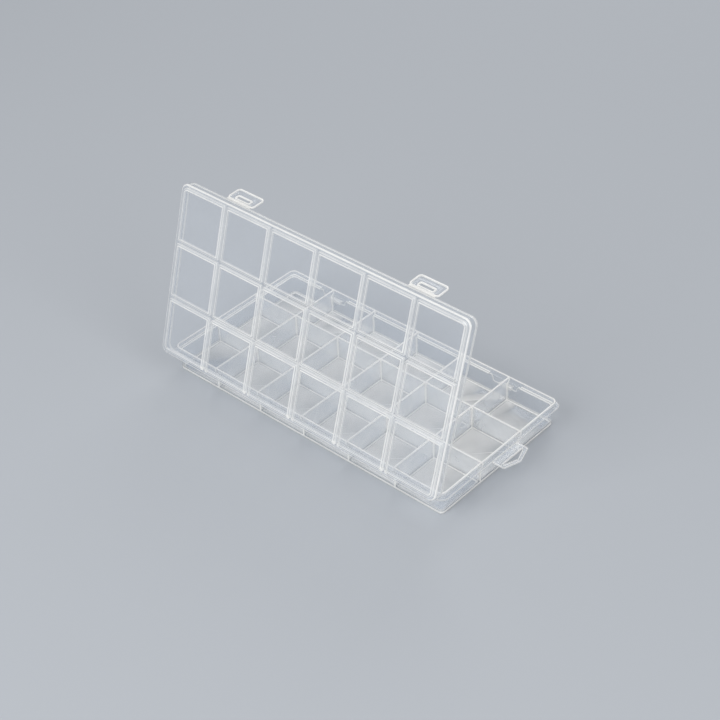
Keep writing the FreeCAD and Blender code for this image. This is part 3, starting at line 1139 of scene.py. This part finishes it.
@dataclass
class LatchCatch:
    """The bead on the tray's back wall that a latch tab's slot snaps over."""

    sizes: BoxSizes
    latch: Latch
    half_width: float = 5.1
    half_height: float = 1.0
    tip_half_height: float = 0.6
    reach: float = 3.3
    sunk: float = 0.4
    height: float = 10.2
    round: float = 0.35
    round_limit: float = 0.6
    round_steps: int = 4
    tip_bow: float = 0.3
    depth: float = 18.0

    def section(self, shell: ShellMesh, out: float, inset: float) -> list[int]:
        """Add a rounded section of the bead.

        Args:
            shell: The shell that gets the section.
            out: Its distance out of the wall.
            inset: How far it is set in all round.

        Returns:
            The section's indices.
        """
        share = max(out, 0) / self.reach
        half_height = self.half_height + (self.tip_half_height - self.half_height) * share - inset
        half_width = self.half_width - inset
        radius = min(self.round, half_height * self.round_limit)
        outline = rounded_outline(
            (-half_width, -half_height),
            (half_width, half_height),
            [radius] * 4,
            [self.round_steps] * 4,
            self.round,
        )
        middle = self.sizes.latch_middle(self.latch)
        wall = self.sizes.half_width
        return shell.add(
            [Vector((middle + point.x, wall + out, self.height + point.y)) for point in outline], self.depth
        )

    def build(self) -> bpy.types.Object:
        """Build the bead and put it on the tray's body.

        Returns:
            The bead's object.
        """
        shell = ShellMesh()
        soft = self.round
        bow = soft * self.tip_bow
        stations = [
            (-self.sunk, 0.0),
            (0.0, 0.0),
            (self.reach - soft, 0.0),
            (self.reach - bow, bow),
            (self.reach, soft),
        ]
        rings = [self.section(shell, out, inset) for out, inset in stations]
        shell.rod(rings)
        side = self.latch.side
        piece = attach(shell.make(f"catch_bead_{side}"), "tray")
        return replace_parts(piece, f"latch_catch_{side}")


@dataclass
class CatchRelief:
    """The thin raised line on the tray's back wall, from the flange's ends down to a catch."""

    sizes: BoxSizes
    latch: Latch
    width: float = 0.5
    rise: float = 0.3
    sunk: float = 0.3
    high: float = 14.9
    low: float = 10.4
    top_share: float = 0.7
    depth: float = 14.0
    # Distance from the latch's middle, and share of the way up from the low end to the high one
    runs: Sequence[tuple[float, float]] = (
        (13.3, 1.0),
        (11.2, 1.0),
        (9.9, 0.55),
        (9.5, 0.1),
        (8.3, 0.0),
        (4.9, 0.0),
    )

    def build(self) -> bpy.types.Object:
        """Sweep the line on both sides of the catch and put it on the tray's body.

        Returns:
            The line's object.
        """
        shell = ShellMesh()
        middle = self.sizes.latch_middle(self.latch)
        wall = self.sizes.half_width
        half = self.width / 2
        top = half * self.top_share
        section = ((-half, -self.sunk), (half, -self.sunk), (top, self.rise), (-top, self.rise))
        for way in (-1, 1):
            line = []
            for out, share in self.runs:
                line.append(Vector((middle + way * out, self.low + (self.high - self.low) * share)))
            rings = []
            for index, place in enumerate(line):
                ahead = heading(line, index)
                across = Vector((-ahead.y, ahead.x))
                points = []
                for side, out in section:
                    flat = place + across * side
                    points.append(Vector((flat.x, wall + out, flat.y)))
                rings.append(shell.add(points, self.depth))
            shell.rod(rings)
        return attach(shell.make(f"catch_relief_{self.latch.side}"), "tray")


@dataclass
class HangingTab:
    """The flat tab at the flange of the right-hand end, with a blunt point and a three-cornered eye."""

    sizes: BoxSizes
    half_width: float = 12.5
    arm: float = 9.1
    reach: float = 13.0
    eye_start: float = 6.4
    eye_half_width: float = 11.0
    eye_depth: float = 4.0
    corner: float = 1.4
    eye_corner: float = 0.35
    least_corner: float = 0.15
    corner_steps: int = 6
    edge_round: Round = Round(0.25, 0.25, 0.08, 0.08)
    edge_fade: float = 0.45
    edge_side_share: float = 0.5
    sunk: float = 0.5
    field_depth: float = 0.8
    edge_depth: float = 14.0

    def rings(self, shell: ShellMesh, corners: Sequence[Vector], radius: float, way: int) -> list[list[int]]:
        """Add the rings of the tab's edge or of the eye's.

        Args:
            shell: The shell that gets the rings.
            corners: Corners of the edge, anticlockwise in plan.
            radius: Radius of its corners.
            way: 1 where the tab lies inside the edge, -1 where it lies outside.

        Returns:
            The rings' indices, from the upper face to the lower.
        """
        top = self.sizes.flange_top
        low = self.sizes.flange_bottom
        edge = self.edge_depth
        side = edge * self.edge_side_share
        levels = [
            Level(self.edge_fade, top, self.field_depth),
            *round_edge((0.0, top), Run.IN, Run.DOWN, self.edge_round, (edge, edge, side)),
            *round_edge((0.0, low), Run.DOWN, Run.OUT, self.edge_round, (side, edge, edge)),
            Level(self.edge_fade, low, self.field_depth),
        ]
        made = []
        for level in levels:
            inset = way * level.offset
            corner = max(radius - inset, self.least_corner)
            outline = rounded_polygon(corners, corner, inset, self.corner_steps)
            points = [point.to_3d() + Vector((0, 0, level.height)) for point in outline]
            made.append(shell.add(points, level.depth))
        shell.stack(made)
        return made

    def build(self) -> bpy.types.Object:
        """Build the tab and put it on the tray's body.

        Returns:
            The tab's object.
        """
        shell = ShellMesh()
        root = self.sizes.half_length + self.sizes.flange_overhang
        edge = [
            Vector((root - self.sunk, -self.half_width)),
            Vector((root + self.arm, -self.half_width)),
            Vector((root + self.reach, 0)),
            Vector((root + self.arm, self.half_width)),
            Vector((root - self.sunk, self.half_width)),
        ]
        eye_x = root + self.eye_start
        eye = [
            Vector((eye_x, -self.eye_half_width)),
            Vector((eye_x + self.eye_depth, 0)),
            Vector((eye_x, self.eye_half_width)),
        ]
        outer = self.rings(shell, edge, self.corner, 1)
        inner = self.rings(shell, eye, self.eye_corner, -1)
        shell.region(outer[0], [inner[0]])
        shell.region(outer[-1], [inner[-1]])
        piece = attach(shell.make("hanging_tab"), "tray")
        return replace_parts(piece, "hanger_plate", "hanger_rail_front", "hanger_rail_back")


@dataclass
class LidMoulding:
    """The lid: a sheet with a raised pad over each compartment and a skirt round it, as one shell."""

    sizes: BoxSizes
    sheet: float = 1.2
    skirt: float = 5.6
    skirt_thickness: float = 1.2
    margin: float = 2.0
    gap: float = 1.2
    bevel: float = 1.7
    rise: float = 0.8
    edge_round: float = 1.1
    # The upper edge's round, as shares of its radius in from the side and down from the top
    edge_shares: Sequence[tuple[float, float]] = ((1.0, 0.0), (0.55, 0.12), (0.15, 0.45), (0.0, 1.0))
    low_round: Round = Round(0.3, 0.3, 0.1, 0.08)
    low_fade: float = 0.9
    inner_root: Round = Round(0.4, 0.4, 0.1, 0.1)
    inner_root_fade: float = 1.0
    skirt_fade: float = 0.6
    # Rings of a pad's bevel, inwards and upwards from its foot and from its top
    foot_rings: Sequence[tuple[float, float]] = ((-0.12, 0.0), (0.06, 0.1), (0.4, 0.2), (0.8, 0.36))
    top_rings: Sequence[tuple[float, float]] = ((-0.35, -0.16), (-0.1, -0.06), (0.2, 0.0), (0.55, 0.0))
    foot_line_share: float = 0.7
    pad_corner: float = 1.2
    least_corner: float = 0.3
    pad_corner_steps: int = 4
    lid_corner_steps: int = 10
    shoulder: float = 1.5
    sheet_depth: float = 0.85
    groove_depth: float = 0.6
    bevel_depth: float = 3.0
    line_depth: float = 11.0
    edge_depth: float = 18.0
    side_depth: float = 4.0
    face_depth: float = 2.0
    skirt_depth: float = 1.3

    def skirt_levels(self) -> list[Level]:
        """List the rings from the outside of the sheet, down the skirt and up again to its inside.

        Returns:
            The levels.
        """
        reach = self.sizes.flange_overhang
        inside = reach - self.skirt_thickness
        low = self.sizes.lid_low
        sheet_low = low + self.skirt
        top = sheet_low + self.sheet
        soft = self.edge_round
        edge = self.edge_depth
        edges = [edge] * 3
        side = self.side_depth
        face = self.face_depth
        skirt = self.skirt_depth
        top_depths = (face, edge, edge, side)
        return [
            *[
                Level(reach - soft * across, top - soft * down, depth)
                for (across, down), depth in zip(self.edge_shares, top_depths)
            ],
            Level(reach, top - soft - self.skirt_fade, skirt),
            Level(reach, low + self.low_fade, skirt),
            *round_edge((reach, low), Run.DOWN, Run.IN, self.low_round, edges),
            *round_edge((inside, low), Run.IN, Run.UP, self.low_round, edges),
            Level(inside, low + self.low_fade, skirt),
            Level(inside, sheet_low - self.inner_root_fade, skirt),
            *round_edge((inside, sheet_low), Run.UP, Run.IN, self.inner_root, (side, side, face)),
        ]

    def pad_levels(self, base: float) -> list[Level]:
        """List the rings of a pad, from the sheet up its bevel.

        Args:
            base: Height of the sheet's face, which the pad rises from.

        Returns:
            The levels, with offsets that count inwards.
        """
        bevel = self.bevel_depth
        line = self.line_depth
        foot_depths = (self.groove_depth, bevel, line * self.foot_line_share, bevel)
        top_depths = (bevel, line, line, self.sheet_depth)
        top = base + self.rise
        return [
            *[Level(x, base + y, depth) for (x, y), depth in zip(self.foot_rings, foot_depths)],
            *[Level(self.bevel + x, top + y, depth) for (x, y), depth in zip(self.top_rings, top_depths)],
        ]

    def pad_ring(self, shell: ShellMesh, column: int, row: int, level: Level) -> list[int]:
        """Add one ring of one pad.

        Args:
            shell: The shell that gets the ring.
            column: The pad's column, from the left.
            row: The pad's row, from the hinge.
            level: The ring's place and depth.

        Returns:
            The ring's indices.
        """
        sizes = self.sizes
        inside = sizes.flange_overhang - self.margin
        pitch_x = (2 * (sizes.half_length + inside) + self.gap) / sizes.columns
        pitch_y = (2 * (sizes.half_width + inside) + self.gap) / sizes.rows
        middle_x = (column - (sizes.columns - 1) / 2) * pitch_x
        middle_y = (row - (sizes.rows - 1) / 2) * pitch_y
        half_x = (pitch_x - self.gap) / 2 - level.offset
        half_y = (pitch_y - self.gap) / 2 - level.offset
        outer = sizes.at_corners(column, row)
        radii = [sizes.corner_at(inside) if big else self.pad_corner for big in outer]
        outline = rounded_outline(
            (middle_x - half_x, middle_y - half_y),
            (middle_x + half_x, middle_y + half_y),
            [max(radius - level.offset, self.least_corner) for radius in radii],
            [self.lid_corner_steps if big else self.pad_corner_steps for big in outer],
            self.shoulder,
        )
        # Painted highlights: the pads' inner corners beside the fold get the edges' deep white plastic on
        # their bevels, which stands in for the glints where two bevels meet
        by_fold = row == 0 and 0 < level.offset < self.bevel
        corner_glints = [
            by_fold and point.corner and point.y < middle_y and not outer[int(point.x > middle_x)]
            for point in outline
        ]
        return shell.add(
            [Vector((point.x, point.y, level.height)) for point in outline],
            [self.edge_depth if glinting else level.depth for glinting in corner_glints],
        )

    def pads(self, shell: ShellMesh, base: float) -> list[Sequence[int]]:
        """Add the pads of one face of the sheet.

        Args:
            shell: The shell that gets the pads.
            base: Height of the sheet's face, which the pads rise from.

        Returns:
            The pads' rings on the sheet's face.
        """
        feet = []
        for row in range(self.sizes.rows):
            for column in range(self.sizes.columns):
                rings = [self.pad_ring(shell, column, row, level) for level in self.pad_levels(base)]
                feet.append(shell.cup(rings))
        return feet

    def build(self) -> bpy.types.Object:
        """Build the lid's shell, swing it open and put it on the lid's body.

        Returns:
            The lid's object.
        """
        shell = ShellMesh()
        perimeter = Perimeter(self.sizes)
        levels = self.skirt_levels()
        rings = [shell.add(perimeter.ring(level.offset, level.height), level.depth) for level in levels]
        shell.stack(rings)
        shell.region(rings[0], self.pads(shell, levels[0].height))
        shell.region(rings[-1], self.pads(shell, levels[-1].height))
        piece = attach(shell.make("lid_moulding", self.sizes.lid_swing), "lid")
        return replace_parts(piece, *[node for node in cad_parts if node.startswith("lid_")])


@dataclass
class LatchTab:
    """One latch tab: a slotted plate with a raised rim round its edge and round the slot."""

    sizes: BoxSizes
    latch: Latch
    length: float = 12.0
    thickness: float = 1.2
    corner: float = 2.8
    slot_length: float = 10.8
    slot_width: float = 2.6
    slot_corner: float = 0.4
    slot_inset: float = 2.7
    rim: float = 1.0
    slot_rim: float = 0.9
    relief: float = 0.25
    rim_slope: float = 0.2
    rim_bow: float = 0.04
    edge_round: Round = Round(0.3, 0.32, 0.08, 0.1)
    least_corner: float = 0.2
    corner_steps: int = 8
    shoulder: float = 0.5
    field_depth: float = 1.5
    rim_depth: float = 18.0

    def profile(self, rim: float) -> list[Level]:
        """List the rings from the field over the rim and the edge to the field of the other face.

        Args:
            rim: Width of the raised rim.

        Returns:
            The levels, with offsets that count from the edge.
        """
        top = self.sizes.web_thickness / 2
        low = top - self.thickness
        slope = self.rim_slope
        depth = self.rim_depth
        depths = [depth] * 3
        return [
            Level(rim + slope, top - self.relief, self.field_depth),
            Level(rim, top - self.rim_bow, depth),
            Level(rim - slope, top, depth),
            *round_edge((0.0, top), Run.IN, Run.DOWN, self.edge_round, depths),
            *round_edge((0.0, low), Run.DOWN, Run.OUT, self.edge_round, depths),
            Level(rim - slope, low, depth),
            Level(rim, low + self.rim_bow, depth),
            Level(rim + slope, low + self.relief, self.field_depth),
        ]

    def rings(
        self, shell: ShellMesh, half: tuple[float, float], middle: float, radius: float, rim: float, way: int
    ) -> list[list[int]]:
        """Add the rings of the plate's edge or of the slot's.

        Args:
            shell: The shell that gets the rings.
            half: Half the length and the width that the edge runs round.
            middle: Distance of its middle from the fold.
            radius: Its corner radius.
            rim: Width of its raised rim.
            way: 1 where the rim lies inside the edge, -1 where it lies outside.

        Returns:
            The rings' indices, from one face's field to the other's.
        """
        made = []
        for level in self.profile(rim):
            half_x = half[0] - way * level.offset
            half_y = half[1] - way * level.offset
            corner = max(radius - way * level.offset, self.least_corner)
            outline = rounded_outline(
                (-half_x, middle - half_y),
                (half_x, middle + half_y),
                [corner] * 4,
                [self.corner_steps] * 4,
                self.shoulder,
            )
            made.append(shell.add([Vector((p.x, p.y, level.height)) for p in outline], level.depth))
        shell.stack(made)
        return made

    def build(self) -> bpy.types.Object:
        """Build the tab, set it on the open lid's edge and put it on its latch's body.

        Returns:
            The tab's object.
        """
        shell = ShellMesh()
        start = self.sizes.web_length / 2
        plate_half = (self.sizes.latch_width / 2, self.length / 2)
        slot_half = (self.slot_length / 2, self.slot_width / 2)
        slot_middle = start + self.slot_inset + self.slot_width / 2
        edge = self.rings(shell, plate_half, start + self.length / 2, self.corner, self.rim, 1)
        slot = self.rings(shell, slot_half, slot_middle, self.slot_corner, self.slot_rim, -1)
        shell.region(edge[0], [slot[0]])
        shell.region(edge[-1], [slot[-1]])
        side = self.latch.side
        piece = shell.make(f"latch_tab_plate_{side}", self.sizes.latch_place(self.latch))
        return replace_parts(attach(piece, f"{side}_latch"), f"latch_tab_{side}")


def fold_strip(
    name: str,
    line: Sequence[Vector],
    thickness: Sequence[float],
    depths: Sequence[float],
    span: tuple[float, float],
) -> bpy.types.Object:
    """Make a thin strip that follows a line across a fold.

    Args:
        name: The strip's name.
        line: Points across the fold, all at X 0, in millimetres.
        thickness: The strip's thickness at each point.
        depths: Plastic behind the strip at each point.
        span: Where the strip starts and ends along X.

    Returns:
        The strip's object.
    """
    shell = ShellMesh()
    faces: tuple[list[Vector], list[Vector]] = ([], [])
    for index, place in enumerate(line):
        ahead = heading(line, index)
        across = Vector((0, -ahead.z, ahead.y)) * (thickness[index] / 2)
        faces[0].append(place + across)
        faces[1].append(place - across)
    outline = [*faces[0], *reversed(faces[1])]
    plastic = [*depths, *reversed(depths)]
    ends = [shell.add([point + Vector((x, 0, 0)) for point in outline], plastic) for x in span]
    shell.rod(ends)
    return shell.make(name)


def bend_between(start: Vector, corner: Vector, end: Vector, steps: int) -> list[Vector]:
    """Draw a smooth bend between two places.

    Args:
        start: Where the bend starts.
        corner: The place that it is drawn towards.
        end: Where it ends.
        steps: How many steps it has.

    Returns:
        The bend's points.
    """
    shares = [step / steps for step in range(steps + 1)]
    return [start * (1 - s) ** 2 + corner * (2 * s * (1 - s)) + end * s**2 for s in shares]


@dataclass
class LidFold:
    """The moulded fold between tray and lid: a leaf on each and a thin film that bends between them."""

    sizes: BoxSizes
    inset: float = 16.0
    leaf: float = 0.5
    film: float = 0.32
    sunk: float = 0.5
    bend_share: float = 0.45
    bend_pull: float = 0.25
    bend_steps: int = 14
    leaf_depth: float = 1.8
    film_depth: float = 9.0

    def across(self, leaf: float, film: float) -> list[float]:
        """Let a value change smoothly across the fold.

        Args:
            leaf: The value on the leaves.
            film: The value in the middle of the film.

        Returns:
            One value for each point across the fold.
        """
        half = self.bend_steps / 2
        shares = [(1 - abs(step - half) / half) ** 2 for step in range(self.bend_steps + 1)]
        return [leaf, *[leaf + (film - leaf) * share for share in shares], leaf]

    def build(self) -> bpy.types.Object:
        """Build the fold and bend it between the tray and the lid.

        Returns:
            The fold's object.
        """
        sizes = self.sizes
        fold = sizes.fold
        root = sizes.half_width + sizes.flange_overhang - self.sunk
        near = sizes.leaf_reach * self.bend_share
        tray_height = sizes.flange_top - self.leaf / 2
        lid_height = sizes.lid_low + self.leaf / 2
        swing = sizes.lid_swing
        tray_root = Vector((0, -root, tray_height))
        tray_end = Vector((0, fold.y + near, tray_height))
        lid_end = swing @ Vector((0, fold.y + near, lid_height))
        lid_root = swing @ Vector((0, -root, lid_height))
        corner = fold + (fold - (tray_end + lid_end) / 2) * self.bend_pull
        line = [tray_root, *bend_between(tray_end, corner, lid_end, self.bend_steps), lid_root]
        thickness = self.across(self.leaf, self.film)
        depths = self.across(self.leaf_depth, self.film_depth)
        half = sizes.half_length + sizes.flange_overhang - self.inset
        piece = fold_strip("lid_fold", line, thickness, depths, (-half, half))
        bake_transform(piece)
        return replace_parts(piece, "hinge_film", "hinge_leaf_tray", "hinge_leaf_lid")


@dataclass
class LatchFold:
    """The thin web that a latch tab folds on."""

    sizes: BoxSizes
    latch: Latch
    inset: float = 1.5
    film: float = 0.3
    sunk: float = 0.5
    bend_share: float = 0.7
    bend_steps: int = 8
    depth: float = 7.0
    film_depth: float = 10.0

    def build(self) -> bpy.types.Object:
        """Build the web and bend it between the lid and its latch tab.

        Returns:
            The web's object.
        """
        sizes = self.sizes
        fold = sizes.latch_fold
        half_web = sizes.web_length / 2
        near = half_web * self.bend_share
        lid_root = sizes.lid_swing @ Vector((0, fold.y, fold.z + half_web + self.sunk))
        lid_end = sizes.lid_swing @ Vector((0, fold.y, fold.z + near))
        middle = sizes.lid_swing @ fold
        tab = sizes.latch_place(self.latch)
        tab.translation.x = 0
        tab_end = tab @ Vector((0, near, 0))
        tab_root = tab @ Vector((0, half_web + self.sunk, 0))
        line = [lid_root, *bend_between(lid_end, middle, tab_end, self.bend_steps), tab_root]
        web = sizes.web_thickness
        half_bend = self.bend_steps / 2
        shares = [abs(step - half_bend) / half_bend for step in range(self.bend_steps + 1)]
        thickness = [web, *[self.film + (web - self.film) * share for share in shares], web]
        depths = [self.depth, *[self.film_depth for _ in shares], self.depth]
        half = sizes.latch_width / 2 - self.inset
        place = sizes.latch_middle(self.latch)
        side = self.latch.side
        span = (place - half, place + half)
        piece = fold_strip(f"latch_fold_{side}", line, thickness, depths, span)
        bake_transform(piece)
        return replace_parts(piece, f"latch_web_{side}")


@dataclass
class Studio:
    """Pale floor, soft lamps and the camera."""

    target: tuple[float, float, float] = (-17.07, 17.48, 10.0)
    azimuth: float = 43.07
    elevation: float = 37.79
    roll: float = -2.28
    distance: float = 1129.39
    lens: float = 84.0
    floor_drop: float = 0.05
    floor_reach: float = 6.0
    paper: MattPaper = MattPaper()
    sky_colour: str = "#DCDEE2"
    sky_strength: float = 0.55
    lamps: Sequence[Lamp] = (
        Lamp("key_lamp", (-0.2, -1.5, 1.3), 1.2, 22.0),
        Lamp("fill_lamp", (1.6, -0.3, 1.0), 1.0, 12.0),
        Lamp("back_lamp", (-0.6, 1.3, 1.1), 1.0, 8.0),
    )
    lamp_aim: tuple[float, float, float] = (0.0, 0.0, 0.05)
    see_through_layers: int = 64
    bounces: int = 32
    diffuse_bounces: int = 20

    def camera(self) -> None:
        """Set the camera at the photograph's viewing angle."""
        azimuth = math.radians(self.azimuth)
        elevation = math.radians(self.elevation)
        back = Vector(
            (
                math.sin(azimuth) * math.cos(elevation),
                -math.cos(azimuth) * math.cos(elevation),
                math.sin(elevation),
            )
        )
        level = (-back).cross(Vector((0, 0, 1))).normalized()
        upright = level.cross(-back)
        roll = math.radians(self.roll)
        right = level * math.cos(roll) + upright * math.sin(roll)
        up = upright * math.cos(roll) - level * math.sin(roll)
        data = bpy.data.cameras.new("camera")
        data.lens = self.lens
        camera = bpy.data.objects.new("camera", data)
        turn = Matrix((right, up, back)).transposed().to_4x4()
        camera.matrix_world = Matrix.Translation((Vector(self.target) + back * self.distance) * MM) @ turn
        bpy.context.scene.collection.objects.link(camera)
        bpy.context.scene.camera = camera

    def hang(self, lamp: Lamp) -> None:
        """Hang a lamp that points at the box.

        Args:
            lamp: The lamp.
        """
        data = bpy.data.lights.new(lamp.name, "AREA")
        data.size = lamp.size
        data.energy = lamp.power
        light = bpy.data.objects.new(lamp.name, data)
        light.location = lamp.place
        ahead = Vector(self.lamp_aim) - Vector(lamp.place)
        light.rotation_euler = ahead.to_track_quat("-Z", "Y").to_euler()
        bpy.context.scene.collection.objects.link(light)

    def floor(self) -> None:
        """Lay the floor, just under the box."""
        work = bmesh.new()
        bmesh.ops.create_grid(work, x_segments=1, y_segments=1, size=self.floor_reach)
        mesh = bpy.data.meshes.new("floor")
        work.to_mesh(mesh)
        work.free()
        mesh.materials.append(self.paper.material())
        floor = bpy.data.objects.new("floor", mesh)
        floor.location.z = -self.floor_drop * MM
        bpy.context.scene.collection.objects.link(floor)

    def sky(self) -> bpy.types.World:
        """Make an even sky, which is seen in the tone of the far floor.

        Returns:
            The new world.
        """
        world = bpy.data.worlds.new("studio")
        world.use_nodes = True
        tree = world.node_tree
        tree.nodes.clear()
        light = add_node(
            tree, "ShaderNodeBackground", {"Color": linear(self.sky_colour), "Strength": self.sky_strength}
        )
        backdrop = add_node(
            tree, "ShaderNodeBackground", {"Color": linear(self.paper.far_colour), "Strength": 1.0}
        )
        mixed = mix_shaders(tree, seen_share(tree), light.outputs[0], backdrop.outputs[0])
        add_node(tree, "ShaderNodeOutputWorld", {}, {"Surface": mixed})
        return world

    def build(self) -> None:
        """Set up floor, lamps, sky and camera."""
        scene = bpy.context.scene
        scene.view_settings.view_transform = "Standard"
        # Sight passes many thin walls, one behind the other, and light is thrown about between them
        scene.cycles.transparent_max_bounces = self.see_through_layers
        scene.cycles.max_bounces = self.bounces
        scene.cycles.diffuse_bounces = self.diffuse_bounces
        scene.world = self.sky()
        self.floor()
        for lamp in self.lamps:
            self.hang(lamp)
        self.camera()


def main() -> None:
    """Build the box piece by piece, dress it and set it in its studio."""
    logging.basicConfig(level=logging.INFO, format="%(message)s")
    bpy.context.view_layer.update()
    sizes = BoxSizes()
    plastic = MouldedPolypropylene("moulded_polypropylene").material()
    folded = MouldedPolypropylene("folded_polypropylene", veil_mm=6.0, roughness=0.35).material()
    builders = [
        (TrayMoulding(sizes), plastic),
        (HangingTab(sizes), plastic),
        (LidMoulding(sizes), plastic),
        (LidFold(sizes), folded),
    ]
    for latch in Latch:
        builders.append((LatchCatch(sizes, latch), plastic))
        builders.append((CatchRelief(sizes, latch), plastic))
        builders.append((LatchTab(sizes, latch), plastic))
        builders.append((LatchFold(sizes, latch), folded))
    for builder, finish in builders:
        piece = builder.build()
        piece.data.materials.append(finish)
        LOG.info("%s: %d faces", piece.name, len(piece.data.polygons))
    Studio().build()


if __name__ == "__main__":
    main()
